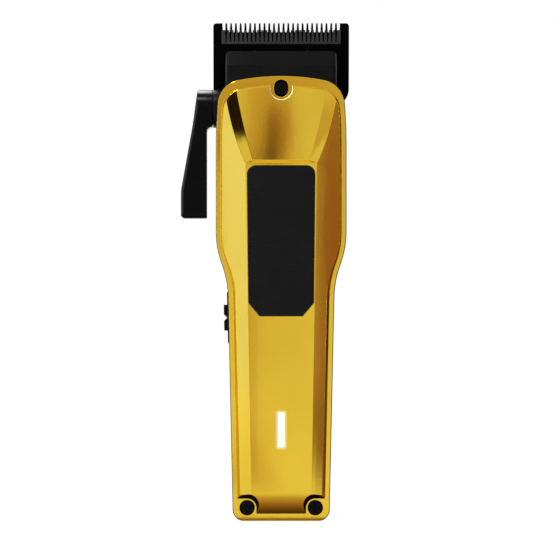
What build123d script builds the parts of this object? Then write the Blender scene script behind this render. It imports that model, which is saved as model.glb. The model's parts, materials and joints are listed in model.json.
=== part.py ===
from build123d import *
import os
from math import atan, cos, degrees, hypot, radians, sin, sqrt, tan

# A cordless hair clipper: a two-piece body, an adjustable blade set, a taper lever on its left
# side, and the motor, cell and board inside.
# X runs to the right of someone who faces the lid, Y to the back, Z up along the body.
# The origin is the middle of the flat base that it stands on. Sizes are in millimetres.

# Body outline, seen from the front
body_height = 152.0        # base to the top of the lid
base_half = 16.5           # half width at the base
neck_half = 18.28          # half width where the neck starts to widen
neck_drop = 58.8           # top of the lid to where the neck reaches the head
neck_length = 11.2
neck_round_share = 0.47    # share of the neck's slope that each of its two roundings takes
head_half = 22.3           # half width of the head
brow_drop = 18.0           # the head leans in from this far below the top
brow_half = 21.1           # half width that the lean reaches at the top
brow_round = 5.0           # length of the rounding where the lean starts
top_radius = 76.0          # arc across the top
top_corner = 8.7
base_corner = 4.0

# Body depth, seen from the side
parting_y = -12.0          # plane where the lid meets the back housing
back_base_y = 13.0         # back of the body at the base
back_belly_y = 15.8        # back of the body at belly_z
belly_z = 48.0
back_knee_y = 17.2         # back where it turns in towards the blade
knee_drop = 40.0           # knee below the top of the lid
seat_y = 5.2               # back just under the blade
seat_drop = 11.5
back_round = 8.0           # rounding of the two long back edges
back_base_corner = 5.0
belly_radius = 180.0
knee_radius = 26.0
wall = 2.0                 # housing wall

# Front lid
lid_step = 0.25            # the lid stands in from the housing's edge
flange_thick = 2.0
flange_side = 1.5          # width of the flat rim at the sides
flange_top = 3.4
flange_base = 2.2
draft_run = 0.7            # the raised wall leans in this far over draft_rise
draft_rise = 1.6
lid_rise = 3.3             # rim to the crown of the plateau
crown_radius = 300.0
facet_edge_high = 12.1     # half width of the plateau, facet_high_drop below the top
facet_high_drop = 31.0
facet_edge_low = 10.7      # half width of the plateau at facet_low_z
facet_low_z = 17.7
facet_drop = 0.2           # slope of a side facet where it leaves the plateau
facet_radius = 70.0        # the side facets bulge a little
facet_overlap = 3.0
foot_crease_z = 10.4       # the plateau rolls down to the foot from here
foot_drop = 0.12           # slope where the roll starts
foot_radius = 15.0
panel_low_drop = 28.6      # sunk panel in the head of the lid, below its top
panel_low_half = 9.22
panel_high_drop = 5.0
panel_high_half = 15.2
panel_edge = 0.4           # foot of the panel's walls above the rim
panel_low_depth = 1.0      # the floor's middle above the rim, at its lower end
panel_high_depth = 0.8
panel_crown = 300.0        # radius of the crowned floor
panel_wall_rise = 3.0
panel_wall_low = 3.4       # run of the slanted side walls over panel_wall_rise, low end
panel_wall_high = 16.2     # the same at the top
panel_sill = 1.4           # run of the slanted wall below the floor
lid_skin = 1.3             # lid behind the grip pad
hollow_low_z = 10.0
hollow_high_drop = 32.5
hollow_inset = 4.2

# Grip pad and light window
pad_drop = 30.8            # pad below the top of the lid
pad_length = 51.2
pad_low_half = 11.1
pad_high_half = 11.6
pad_corner = 3.0
pad_chamfer_x = 3.8
pad_chamfer_z = 4.5
pad_depth = 1.2
pad_proud = 0.15
pad_gap = 0.05
window_low_z = 25.2
window_length = 12.2
window_width = 2.4
window_corner = 0.6
window_gap = 0.03
window_flange = 0.9
window_flange_thick = 0.8

# Screws
screw_head_r = 2.4
foot_head_r = 2.5
top_head_r = 2.3
screw_head_thick = 0.9
screw_edge = 0.25
screw_shank_r = 1.25
screw_hole_gap = 0.15
head_pocket_gap = 0.12
head_sink = 0.35           # lid screw heads below the rim's face
foot_screw_x = 11.6
foot_screw_z = 4.65
foot_screw_length = 7.5
foot_boss_r = 3.2
foot_boss_length = 8.5
top_screw_drop = 4.4
top_screw_length = 3.9
top_pocket_height = 6.0
notch_foot_r = 3.15        # clearance round each foot screw, at the rim
notch_reach = 6.0          # it runs on past the lid's corner
notch_foot_lean = 0.53
notch_top_r = 3.75         # the same round the top screw
notch_top_lean = 0.36

# Blades, in their own frame: x across, n out of the back, b up along the blade from its tips
blade_lean = 10.0          # degrees that the blade leans to the front
tip_y = -4.0
tip_rise = 18.25           # blade tips above the lid
blade_half = 23.3
blade_length = 29.0
blade_thick = 3.0
tip_thick = 0.9
tip_bevel = 9.0            # length of the bevel that thins the teeth
blade_corner = 1.1
heel_corner = 6.5
heel_gap = 0.3             # housing round the heel's corners
still_gaps = 25
still_pitch = 1.636
still_gap_tip = 1.2
still_gap_root = 0.74
still_gap_depth = 3.2
rail = 2.85                # still blade seen at each side of the cutter
cutter_thick = 2.4
cutter_tip = 2.2           # cutter tips below the still tips, lever open
cutter_root = 6.35
cutter_heel = 16.0
cutter_tip_thick = 0.8
cutter_root_thick = 1.3
cutter_step = 0.85
cutter_pitch = 1.45
cutter_teeth = 28
cutter_gap_tip = 1.0
cutter_gap_root = 0.36
oil_gap = 0.02             # between the two blades
heel_room = 2.3            # housing below the heel of the still blade
seat_gap = 0.4             # housing in front of the still blade

# Crank, fork and spring
stroke = 1.3               # throw of the crank pin
axis_n = -5.2              # motor axis
roller_r = 1.8
roller_low_b = -26.2
roller_high_b = -19.8
pin_r = 1.0
pin_end = 0.3              # crank pin past its roller
running_gap = 0.05
fork_gap = 0.33            # roller to fork
fork_half = 5.5
fork_front_n = -8.0
fork_low_b = -25.0
yoke_low_b = -18.0
yoke_high_b = -12.8
yoke_front_n = -6.4
yoke_gap = 0.05            # yoke in front of the cutter
peg_x = 4.0
peg_b = -14.5
peg_r = 1.2
peg_short = 0.4
spring_r = 0.6
spring_half = 9.0
spring_low_b = -15.5
spring_high_b = -9.0
spring_bend = 2.2
spring_n = -3.4
crank_hub_r = 3.6
crank_low_b = -32.3
crank_high_b = -26.6
crank_web = 0.6            # crank past the end of the shaft

# Drive frame
plate_high_b = -33.0
plate_thick = 2.0
plate_front_n = -12.0
plate_back_n = 0.9
cheek_gap = 1.4            # cheek to the housing's wall
cheek_thick = 1.8
cheek_high_b = -18.0
cheek_front_n = -9.9
cheek_back_n = -0.5
bridge_back_n = -8.9
bridge_low_b = -24.5
bridge_high_b = -19.5
bridge_boss_y = -9.3       # back of the boss for the top lid screw
ear_gap = 1.5              # ear to the housing's wall
ear_width = 6.3
ear_drop = 33.2            # ear below the blade's tips
ear_length = 9.0
ear_front_y = -9.6
ear_thick = 2.0
frame_screw_in = 2.8       # screw from the ear's two outer edges
frame_screw_up = 3.0
frame_screw_length = 8.0
frame_boss_r = 2.6

# Motor
motor_r = 10.2
motor_flat = 7.7           # half height across the flats
motor_length = 30.0
motor_wall = 0.8
motor_rib_up = 5.0         # cradle rib above the motor's tail
shaft_r = 1.0
shaft_tail = 1.5
magnet_gap = 0.05
magnet_in_r = 7.0
magnet_half = 6.2
magnet_end_gap = 2.0
armature_r = 6.6
armature_length = 16.0
armature_slot = 1.6
armature_slot_in = 3.3
armature_pocket = 4.4
armature_lip = 1.3
commutator_r = 2.6
commutator_length = 4.0
commutator_gap = 1.0
end_cap_thick = 3.0
bush_r = 2.5
bush_depth = 2.0
motor_screw_x = 6.5
motor_screw_r = 1.0
motor_screw_head_r = 1.8
terminal_x = 4.5
terminal_half = 1.0
terminal_thick = 0.5
terminal_tail = 4.0
lead_r = 0.6
lead_gap = 0.06
lead_bend = 4.0

# Blade carriage and taper lever
slide_travel = 1.8         # the lever draws the still blade down this far
lever_swing = 45.0         # degrees
lug_width = 5.1
lug_gap = 0.3
lug_front_n = -7.0
lug_low_b = -30.6
lug_high_b = -18.5
strap_thick = 1.2
strap_low_b = -29.5
strap_high_b = -24.0
blade_screw_b = -21.5
blade_screw_r = 1.5
blade_screw_gap = 0.05
blade_screw_head_r = 2.9
blade_screw_sink = 1.5
blade_screw_length = 8.0
lever_n = -5.0             # lever axis
lever_b = -28.8
lever_pin_r = 1.4
lever_pin_gap = 0.06
lever_pin_depth = 3.0      # pin into its slot in the carriage
lever_slot_reach = 0.5     # slot past the pin's path
lever_shaft_r = 3.0
lever_disc_r = 4.0
lever_disc_gap = 0.1
bush_wall = 1.5
bush_gap = 0.4             # bush to the frame's cheek
lever_boss_r = 6.6
lever_gap = 0.3            # lever hub to housing boss
lever_spigot_r = 5.4       # the boss ends in a spigot that enters the hub
lever_spigot = 0.8
lever_spigot_gap = 0.15
lever_hub_r = 6.5
lever_hub_thick = 5.0
lever_hub_round = 1.0
lever_knee_step = 1.4      # outer face past the hub's, lever_knee_drop below the axis
lever_knee_drop = 3.87
lever_knee_radius = 60.0
lever_tip_step = 5.7
lever_bend_drop = 28.3
lever_bend_radius = 12.0
lever_reach = 37.75        # axis to the lever's tip
lever_in_step = 1.8        # inner face of the arm past the hub's
lever_tip_half = 5.2
lever_tip_corner = 2.4
lever_chamfer = 0.9         # at the tip's corner
lever_edge = 0.9           # along the two outer edges
lever_ease = 0.4           # rounding of the lever's small corners
lever_inner_round = 1.6    # where the arm meets the hub
lever_pocket = 1.1         # depth of the pocket for the lever screw
lever_pocket_web = 1.4
lever_screw_r = 2.6
lever_screw_length = 8.0

# Blade cover, the black nose between the lid and the cutter
cover_half = 19.0
cover_tuck = 8.4           # cover behind the top of the lid
cover_crease_rise = 3.7    # crease above the lid
cover_rise = 8.6
cover_top_y = -8.4
cover_wall = 1.2
cover_lip = 1.4
cover_edge = 0.6           # thickness of the lip's back edge
cover_corner = 1.7
cover_side_round = 1.5     # rounding of the front's two upright edges
cover_cheek_rise = 0.8
cover_back_n = -3.0
cover_gap = 0.15

# Power switch on the left wall
switch_drop = 12.65         # switch below the neck
switch_y = -3.0
bezel_length = 17.7
bezel_width = 9.0
bezel_corner = 2.0
bezel_proud = 0.4
bezel_depth = 1.0
bezel_gap = 0.05
slot_length = 13.2
slot_width = 5.4
slot_corner = 1.2
slider_length = 8.9
slider_width = 5.0
slider_proud = 1.6
slider_notch = 1.1
slider_plate = 0.8
slider_lap = 1.0
switch_travel = 2.0
switch_gap = 0.1
finger_half = 2.0
finger_y = -7.6
finger_gap = 0.32          # finger to the power switch
toggle_half = 0.8
toggle_depth = 1.0
toggle_reach = 1.6
switch_body_width = 3.2
switch_body_depth = 3.6
switch_body_length = 10.0

# Battery, board and charging socket
battery_r = 9.2
battery_y = 1.9
battery_low_z = 12.0
cell_length = 65.0
battery_edge = 0.6
rib_gap = 0.1
rib_thick = 1.6
rib_inset = 14.5           # cradle ribs from the cell's ends
tab_thick = 0.3
tab_half = 4.0
board_front_y = -10.6
board_thick = 1.6
board_low_z = 3.4
board_foot = 6.0           # length of the board's narrow foot
lead_drop = 14.85          # board below the motor's terminals
board_foot_half = 7.8
board_half = 12.6
chip_low_z = 44.0
chip_size = 7.0
chip_thick = 1.1
post_x = 11.0
post_low_up = 12.1         # posts from the board's two ends
post_high_down = 4.5
post_r = 1.6
board_screw_r = 0.9
board_screw_head_r = 1.5
board_screw_head = 0.8
board_screw_length = 5.0
socket_width = 8.94        # the common oval charging socket
socket_height = 3.26
socket_wall = 0.3
socket_depth = 7.3
socket_floor = 0.6
socket_gap = 0.2
tongue_width = 6.7
tongue_thick = 0.7
tongue_length = 4.5
led_half = 1.0
led_height = 3.2
led_thick = 1.0

overrun = 12.0             # tools reach this far past the faces that they cut
mask_ease = 0.01           # keeps the trimming outline clear of the side walls
past = 1.0                 # the same where a face is cut flush
far = 60.0

# Values worked out from those above
lean = radians(blade_lean)
tip_z = body_height + tip_rise
neck_high = body_height - neck_drop
neck_low = neck_high - neck_length
brow_low = body_height - brow_drop
knee_z = body_height - knee_drop
seat_z = body_height - seat_drop
facet_high_z = body_height - facet_high_drop
panel_low_z = body_height - panel_low_drop
panel_high_z = body_height - panel_high_drop
hollow_high_z = body_height - hollow_high_drop
pad_high_z = body_height - pad_drop
pad_low_z = pad_high_z - pad_length
top_screw_z = body_height - top_screw_drop
cover_low_z = body_height - cover_tuck
cover_crease_z = body_height + cover_crease_rise
cover_high_z = body_height + cover_rise
cover_cheek_z = body_height + cover_cheek_rise
switch_z = neck_low - switch_drop
blade_frame = Plane((0, tip_y, tip_z), x_dir=(1, 0, 0), z_dir=(0, -sin(lean), cos(lean)))
rim_y = parting_y - flange_thick
crown_y = rim_y - lid_rise
pad_floor_y = crown_y + pad_depth
hollow_y = pad_floor_y + lid_skin
side_slope = (neck_half - base_half) / neck_low
ear_back_y = ear_front_y + ear_thick
ear_out = head_half - wall - ear_gap
ear_in = ear_out - ear_width
ear_high_z = tip_z - ear_drop
ear_low_z = ear_high_z - ear_length
frame_screw_x = ear_out - frame_screw_in
frame_screw_z = ear_low_z + frame_screw_up
cheek_out = brow_half - wall - cheek_gap
cheek_in = cheek_out - cheek_thick
cutter_half = blade_half - rail
board_back_y = board_front_y + board_thick
socket_y = board_back_y + socket_height / 2
window_high_z = window_low_z + window_length
window_z = (window_low_z + window_high_z) / 2
head_seat_y = rim_y + head_sink + screw_head_thick
foot_boss_y = parting_y + foot_boss_length
lever_crank = slide_travel / 2 / sin(radians(lever_swing / 2))
lug_out = cheek_in - lug_gap
lug_in = lug_out - lug_width
blade_screw_x = (lug_in + lug_out) / 2
lever_pin_in = lug_out - lever_pin_depth
bush_in = cheek_out + bush_gap
lever_boss_x = blade_half
lever_spigot_x = lever_boss_x + lever_spigot
lever_hub_in = lever_boss_x + lever_gap
lever_hub_out = lever_hub_in + lever_hub_thick
lever_in = lever_hub_in + lever_in_step
lever_knee_out = lever_hub_out + lever_knee_step
lever_tip_out = lever_hub_out + lever_tip_step
lever_pocket_x = lever_hub_out - lever_pocket
battery_high_z = battery_low_z + cell_length
board_step_z = board_low_z + board_foot
post_low_z = board_low_z + post_low_up
bush_out_r = lever_shaft_r + running_gap + bush_wall
motor_high_b = plate_high_b - plate_thick
motor_low_b = motor_high_b - motor_length
yoke_back_n = -cutter_thick - yoke_gap


def block(x0, x1, y0, y1, z0, z1):
    """Box between two corners."""
    return Pos((x0 + x1) / 2, (y0 + y1) / 2, (z0 + z1) / 2) * Box(x1 - x0, y1 - y0, z1 - z0)


def rod_x(radius, x0, x1, y, z):
    """Cylinder along X."""
    return Pos((x0 + x1) / 2, y, z) * Rot(0, 90, 0) * Cylinder(radius, x1 - x0)


def rod_y(radius, y0, y1, x, z):
    """Cylinder along Y."""
    return Pos(x, (y0 + y1) / 2, z) * Rot(90, 0, 0) * Cylinder(radius, y1 - y0)


def rod_z(radius, z0, z1, x=0, y=0):
    """Cylinder along Z."""
    return Pos(x, y, (z0 + z1) / 2) * Cylinder(radius, z1 - z0)


def both_sides(piece):
    """A piece and its mirror image across the middle plane."""
    return piece + mirror(piece, Plane.YZ)


def front_plane(y):
    """Drawing plane that faces the front, with X to the right and Z up."""
    return Plane((0, y, 0), x_dir=(1, 0, 0), z_dir=(0, -1, 0))


def slab(face, y_back, y_front):
    """A front-view face given depth."""
    return extrude(front_plane(y_back) * face, y_back - y_front, dir=(0, -1, 0))


def across(face, half):
    """A side-view face, drawn in Y and Z, given width on both sides of the middle."""
    return extrude(Plane.YZ * face, half, both=True)


def closed_face(*points):
    """Face inside a closed run of points."""
    return make_face(Polyline(*points, close=True).edges())


def on_blade(piece):
    """Move a piece from the blade's own frame to the body's."""
    return blade_frame * piece


def blade_point(n, b):
    """Y and Z of a point in the blade's frame."""
    return tip_y + n * cos(lean) - b * sin(lean), tip_z + b * cos(lean) + n * sin(lean)


lever_y, lever_z = blade_point(lever_n, lever_b)
lever_knee_z = lever_z - lever_knee_drop
lever_bend_z = lever_z - lever_bend_drop
lever_low_z = lever_z - lever_reach
tail_y, tail_z = blade_point(axis_n, motor_low_b - terminal_tail)
board_high_z = tail_z - lead_drop
post_high_z = board_high_z - post_high_down


def half_width(z):
    """Half width of the body on its straight taper below the neck."""
    return base_half + side_slope * z


def side_line(inset):
    """Right side of the body, from below the base to above the top, with its neck rounded."""
    neck_run = hypot(head_half - neck_half, neck_high - neck_low)
    neck_turn = atan((head_half - neck_half) / (neck_high - neck_low))
    low_turn = neck_turn - atan(side_slope)
    brow_slope = (head_half - brow_half) / (body_height - brow_low)
    round_run = neck_round_share * neck_run
    radii = (
        round_run / tan(low_turn / 2) + inset,
        round_run / tan(neck_turn / 2) - inset,
        brow_round / tan(atan(brow_slope) / 2) - inset,
    )
    return FilletPolyline(
        (half_width(-overrun) - inset, -overrun),
        (neck_half - inset, neck_low),
        (head_half - inset, neck_high),
        (head_half - inset, brow_low),
        (brow_half - brow_slope * overrun - inset, body_height + overrun),
        radius=radii,
    )


def long_outline(inset):
    """Front view of the body, running on past both ends."""
    right = side_line(inset)
    left = mirror(right, Plane.YZ)
    ends = [Line(right @ 1, left @ 1), Line(right @ 0, left @ 0)]
    return make_face(right.edges() + left.edges() + ends)


def outline(inset, top_inset, base_inset):
    """Front view of the body, drawn in from its edge, with rounded corners."""
    arc = Pos(0, body_height - top_radius) * Circle(top_radius - top_inset)
    above_arc = Pos(0, body_height) * Rectangle(2 * far, 2 * top_radius) - arc
    below_base = Pos(0, base_inset - overrun) * Rectangle(2 * far, 2 * overrun)
    face = long_outline(inset) - above_arc - below_base
    high_corners = face.vertices().sort_by(Axis.Y)[-2:]
    face = fillet(high_corners, top_corner - min(inset, top_corner / 2))
    low_corners = face.vertices().sort_by(Axis.Y)[:2]
    return fillet(low_corners, base_corner - min(inset, base_corner / 2))


def back_profile(inset):
    """Side view of the body, drawn in from its back and running on past both ends."""
    slope = (back_knee_y - seat_y) / (seat_z - knee_z)
    lift = inset * sqrt(1 + slope * slope)
    top = body_height + overrun
    belly_slope = (back_belly_y - back_base_y) / belly_z
    line = FilletPolyline(
        (back_base_y - inset - overrun * belly_slope, -overrun),
        (back_belly_y - inset, belly_z),
        (back_knee_y - inset, knee_z - (lift - inset) / slope),
        (seat_y - lift - slope * (top - seat_z), top),
        radius=(belly_radius, knee_radius - inset),
    )
    front = parting_y - inset
    rest = Polyline(line @ 1, (front, top), (front, -overrun), line @ 0)
    return make_face(line.edges() + rest.edges())


def body_block(inset):
    """The body behind the parting plane, with its long back edges and its base rounded."""
    front = parting_y - inset
    top = body_height + overrun
    raw = slab(long_outline(inset), far, front) & across(back_profile(inset), far)
    long_edges = [
        edge for edge in raw.edges()
        if abs(edge.center().X) > base_half / 2 and edge.bounding_box().min.Y > front + wall
    ]
    rounded = fillet(long_edges, back_round - inset)
    base = FilletPolyline(
        (front - past, inset),
        (back_base_y - inset, inset),
        (back_belly_y - inset, belly_z),
        radius=back_base_corner - inset,
    )
    rest = Polyline(base @ 1, (far, belly_z), (far, top), (front - past, top), base @ 0)
    side = make_face(base.edges() + rest.edges())
    ends = outline(inset - mask_ease, inset, inset)
    return rounded & across(side, far) & slab(ends, far, front - past)


def screw(head_r, head_thick, shank_r, length):
    """A screw along Z, with its head's face at the origin and its shank below."""
    head = rod_z(head_r, -head_thick, 0)
    rim = head.edges().sort_by(Axis.Z)[-1]
    return chamfer(rim, screw_edge) + rod_z(shank_r, -length, -head_thick)


def facing_front(piece, x, y, z):
    """Turn a screw so that its head faces the front."""
    return Pos(x, y, z) * Rot(90, 0, 0) * piece


# Body


def switch_frame():
    """Plane on the left wall: x up the wall, z out of it."""
    spot = (-half_width(switch_z), switch_y, switch_z)
    return Plane(spot, x_dir=(-side_slope, 0, 1), z_dir=(-1, 0, -side_slope))


def plaque(length, width, z0, z1, corner):
    """Rounded plate on the switch's plane."""
    return Pos(0, 0, z0) * extrude(RectangleRounded(length, width, corner), z1 - z0)


def socket_slot(grow, z0, z1):
    """The charging socket's oval section, grown by some clearance."""
    section = SlotOverall(socket_width + 2 * grow, socket_height + 2 * grow)
    return Pos(0, socket_y, z0) * extrude(section, z1 - z0)


def motor_shape(grow, low_b, high_b):
    """The motor's round body with two flats, in the blade's frame."""
    radius = motor_r + grow
    flat = motor_flat + grow
    drum = rod_z(radius, low_b, high_b, 0, axis_n)
    return drum & block(-radius, radius, axis_n - flat, axis_n + flat, low_b, high_b)


def housing_inside():
    """Posts, bosses and cradle ribs on the inside of the housing."""
    posts = [rod_y(post_r, board_back_y, far, post_x, z) for z in (post_low_z, post_high_z)]
    posts.append(rod_y(frame_boss_r, ear_back_y, far, frame_screw_x, frame_screw_z))
    posts.append(rod_y(foot_boss_r, parting_y, foot_boss_y, foot_screw_x, foot_screw_z))
    cell_room = rod_z(battery_r + rib_gap, 0, body_height, 0, battery_y)
    ribs = [
        block(-far, far, battery_y, far, z - rib_thick / 2, z + rib_thick / 2) - cell_room
        for z in (battery_low_z + rib_inset, battery_high_z - rib_inset)
    ]
    rib_b = motor_low_b + motor_rib_up
    motor_rib = block(-far, far, axis_n, far, rib_b - rib_thick, rib_b)
    motor_rib -= motor_shape(rib_gap, motor_low_b - overrun, motor_high_b)
    ribs.append(on_blade(motor_rib))
    return [both_sides(post) for post in posts] + ribs


def housing_pilots():
    """Holes for the screws that go into the housing."""
    board_end = board_front_y + board_screw_length + past
    pilots = [
        rod_y(board_screw_r, board_back_y - past, board_end, post_x, z)
        for z in (post_low_z, post_high_z)
    ]
    frame_end = ear_front_y + frame_screw_length + past
    pilots.append(rod_y(screw_shank_r, ear_back_y - past, frame_end, frame_screw_x, frame_screw_z))
    foot_end = head_seat_y + foot_screw_length
    pilots.append(rod_y(screw_shank_r, parting_y - past, foot_end, foot_screw_x, foot_screw_z))
    return [both_sides(pilot) for pilot in pilots]


def blade_room():
    """Room for the still blade and its travel, in the blade's frame."""
    low = -blade_length - heel_room
    face = Pos(0, (far + low) / 2) * Rectangle(2 * (blade_half + heel_gap), far - low)
    face = fillet(face.vertices().sort_by(Axis.Y)[:2], heel_corner + heel_gap)
    return slab(face, far, -seat_gap)


def back_housing():
    outer = body_block(0)
    shell = outer - body_block(wall)
    boss = rod_x(lever_boss_r, -lever_boss_x, wall - brow_half, lever_y, lever_z)
    boss += rod_x(lever_spigot_r, -lever_spigot_x, -lever_boss_x, lever_y, lever_z)
    housing = shell + [piece & outer for piece in housing_inside()] + boss
    housing -= housing_pilots()
    housing -= on_blade(blade_room())
    nose = cover_half + cover_gap
    nose_low = cover_low_z - cover_gap
    housing -= block(-nose, nose, parting_y - past, far, nose_low, body_height + overrun)
    housing -= rod_x(bush_out_r, -far, 0, lever_y, lever_z)
    bezel = plaque(bezel_length, bezel_width, -bezel_depth, overrun, bezel_corner)
    opening = plaque(slot_length, slot_width, -2 * wall, overrun, slot_corner)
    housing -= switch_frame() * (bezel + opening)
    return housing - socket_slot(socket_gap, -past, wall + past)


def facet_cut():
    """Stock in front of the right side facet, which bulges and narrows towards the base."""
    edge_y = crown_y + facet_edge_high ** 2 / (2 * crown_radius)
    turn = atan(facet_drop)
    centre_x = facet_edge_high - facet_radius * sin(turn)
    centre_y = edge_y + facet_radius * cos(turn)
    inner = facet_edge_high - facet_overlap
    stock = Pos((inner + head_half + overrun) / 2, crown_y)
    stock *= Rectangle(head_half + overrun - inner, 2 * overrun)
    section = stock - Pos(centre_x, centre_y) * Circle(facet_radius)
    narrowing = (facet_edge_high - facet_edge_low) / (facet_high_z - facet_low_z)
    start = Pos(-narrowing * (facet_high_z + overrun), 0, -overrun)
    return extrude(start * section, body_height + 4 * overrun, dir=(narrowing, 0, 1))


def foot_cut():
    """Stock in front of the round roll that runs down to the base."""
    turn = atan(foot_drop)
    centre_y = crown_y + foot_radius * cos(turn)
    centre_z = foot_crease_z + foot_radius * sin(turn)
    stock = Pos(crown_y, foot_crease_z - overrun) * Rectangle(2 * overrun, 2 * overrun)
    return across(stock - Pos(centre_y, centre_z) * Circle(foot_radius), far)


def panel_cut():
    """Stock in front of the sunk panel in the head of the lid, with its slanted walls."""
    widening = (panel_high_half - panel_low_half) / (panel_high_z - panel_low_z)
    top_z = body_height + past
    top_half = panel_low_half + widening * (top_z - panel_low_z)

    def trapezoid(low_half, low_z, high_half):
        return closed_face((-low_half, low_z), (low_half, low_z), (high_half, top_z), (-high_half, top_z))

    floor = trapezoid(panel_low_half, panel_low_z, top_half)
    mouth_half = panel_low_half + panel_wall_low
    mouth = trapezoid(mouth_half, panel_low_z - panel_sill, top_half + panel_wall_high)
    edge_y = rim_y - panel_edge
    mouth_y = edge_y - panel_wall_rise
    cut = loft([front_plane(edge_y) * floor, front_plane(mouth_y) * mouth], ruled=True)
    cut += slab(floor, parting_y, edge_y)
    lean_back = degrees(atan((panel_low_depth - panel_high_depth) / (panel_high_z - panel_low_z)))
    middle = Pos(0, rim_y - panel_low_depth + panel_crown, panel_low_z)
    return cut - middle * Rot(-lean_back, 0, 0) * Cylinder(panel_crown, 4 * body_height)


def lid_block():
    """The lid's raised centre: a drafted wall, a crowned plateau, side facets and a foot facet."""
    rise = lid_rise + past
    run = draft_run * rise / draft_rise
    side = lid_step + flange_side
    low = outline(side, flange_top, flange_base)
    high = outline(side + run, flange_top + run, flange_base + run)
    raised = loft([front_plane(rim_y) * low, front_plane(rim_y - rise) * high], ruled=True)
    raised &= Pos(0, crown_y + crown_radius, 0) * Cylinder(crown_radius, 4 * body_height)
    return raised - both_sides(facet_cut()) - foot_cut() - panel_cut()


def notch(x, z, radius, lean_out, reach=0):
    """Leaning clearance round the head of a lid screw, run on outwards and down by reach."""
    depth = lid_rise + past
    middle = Pos(x + reach / 2, z - reach / 2)

    def section(y, round_r):
        size = reach + 2 * round_r
        shape = RectangleRounded(size, size, round_r) if reach else Circle(round_r)
        return front_plane(y) * middle * shape

    wide_r = radius + lean_out * depth
    return loft([section(rim_y, radius), section(rim_y - depth, wide_r)], ruled=True)


def pad_outline(grow):
    low = pad_low_z - grow
    high = pad_high_z + grow
    low_half = pad_low_half + grow
    high_half = pad_high_half + grow
    right = [(low_half - pad_chamfer_x, low), (low_half, low + pad_chamfer_z), (high_half, high)]
    left = [(-x, z) for x, z in reversed(right)]
    face = closed_face(*right, *left)
    return fillet(face.vertices().sort_by(Axis.Y)[-2:], pad_corner + grow)


def window_outline(grow):
    height = window_high_z - window_low_z + 2 * grow
    return Pos(0, window_z) * RectangleRounded(window_width + 2 * grow, height, window_corner)


def front_lid():
    rim = slab(outline(lid_step, lid_step, lid_step), parting_y, rim_y)
    lid = rim + lid_block()
    lid -= slab(pad_outline(pad_gap), pad_floor_y, crown_y - overrun)
    lid -= slab(window_outline(window_gap), parting_y, crown_y - overrun)
    inner = outline(hollow_inset, hollow_inset, hollow_inset)
    room_z = (hollow_low_z + hollow_high_z) / 2
    room = Pos(0, room_z) * Rectangle(2 * far, hollow_high_z - hollow_low_z)
    lid -= slab(inner & room, parting_y, hollow_y)

    hole_r = screw_shank_r + screw_hole_gap
    lid -= both_sides(notch(foot_screw_x, foot_screw_z, notch_foot_r, notch_foot_lean, notch_reach))
    pocket_r = foot_head_r + head_pocket_gap
    lid -= both_sides(rod_y(pocket_r, crown_y, head_seat_y, foot_screw_x, foot_screw_z))
    lid -= both_sides(rod_y(hole_r, rim_y, parting_y, foot_screw_x, foot_screw_z))
    lid -= notch(0, top_screw_z, notch_top_r, notch_top_lean)
    pocket_r = top_head_r + head_pocket_gap
    pocket = Pos(0, top_screw_z) * Rot(0, 0, 90) * SlotOverall(top_pocket_height, 2 * pocket_r)
    lid -= slab(pocket, head_seat_y, crown_y)
    return lid - rod_y(hole_r, rim_y, parting_y, 0, top_screw_z)


def lid_screws():
    head_y = rim_y + head_sink
    foot = screw(foot_head_r, screw_head_thick, screw_shank_r, foot_screw_length)
    top = screw(top_head_r, screw_head_thick, screw_shank_r, top_screw_length)
    return [
        facing_front(foot, -foot_screw_x, head_y, foot_screw_z),
        facing_front(foot, foot_screw_x, head_y, foot_screw_z),
        facing_front(top, 0, head_y, top_screw_z),
    ]


def grip_pad():
    pad = slab(pad_outline(0), pad_floor_y, crown_y - past)
    crown = Pos(0, crown_y - pad_proud + crown_radius, 0)
    return pad & crown * Cylinder(crown_radius, 4 * body_height)


def light_window():
    window = slab(window_outline(0), hollow_y, crown_y)
    back = slab(window_outline(window_flange), hollow_y + window_flange_thick, hollow_y)
    crown = Pos(0, crown_y + crown_radius, 0) * Cylinder(crown_radius, 4 * body_height)
    return (window & crown) + back


def blade_cover():
    inner_y = parting_y + cover_wall
    lip_y = cover_top_y + cover_lip
    turn = atan((cover_top_y - parting_y) / (cover_high_z - cover_crease_z))
    skin = closed_face(
        (parting_y, cover_low_z),
        (parting_y, cover_crease_z),
        (cover_top_y, cover_high_z),
        (lip_y, cover_high_z),
        (lip_y, cover_high_z - cover_edge),
        (inner_y, cover_crease_z - cover_wall * tan(turn / 2)),
        (inner_y, cover_low_z),
    )

    def cheek_back(z):
        b = (z - tip_z - cover_back_n * sin(lean)) / cos(lean)
        return blade_point(cover_back_n, b)[0]

    cheek = closed_face(
        (parting_y, cover_cheek_z),
        (parting_y, cover_crease_z),
        (cover_top_y, cover_high_z),
        (cheek_back(cover_high_z), cover_high_z),
        (cheek_back(cover_cheek_z), cover_cheek_z),
    )
    side = Pos(cover_half - cover_wall / 2, 0, 0) * across(cheek, cover_wall / 2)
    cover = across(skin, cover_half) + both_sides(side)
    height = cover_high_z - cover_low_z
    front = Pos(0, cover_low_z + height / 2) * Rectangle(2 * cover_half, height)
    front = fillet(front.vertices().sort_by(Axis.Y)[-2:], cover_corner)
    cover &= slab(front, far, -far)
    uprights = [
        edge for edge in cover.edges()
        if abs(edge.center().X) > cover_half - mask_ease and edge.bounding_box().size.Z > past
        and edge.bounding_box().min.Y < parting_y + mask_ease
    ]
    cover = fillet(uprights, cover_side_round)
    return cover - rod_y(screw_shank_r + screw_hole_gap, parting_y - past, 0, 0, top_screw_z)


# Drive


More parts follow.
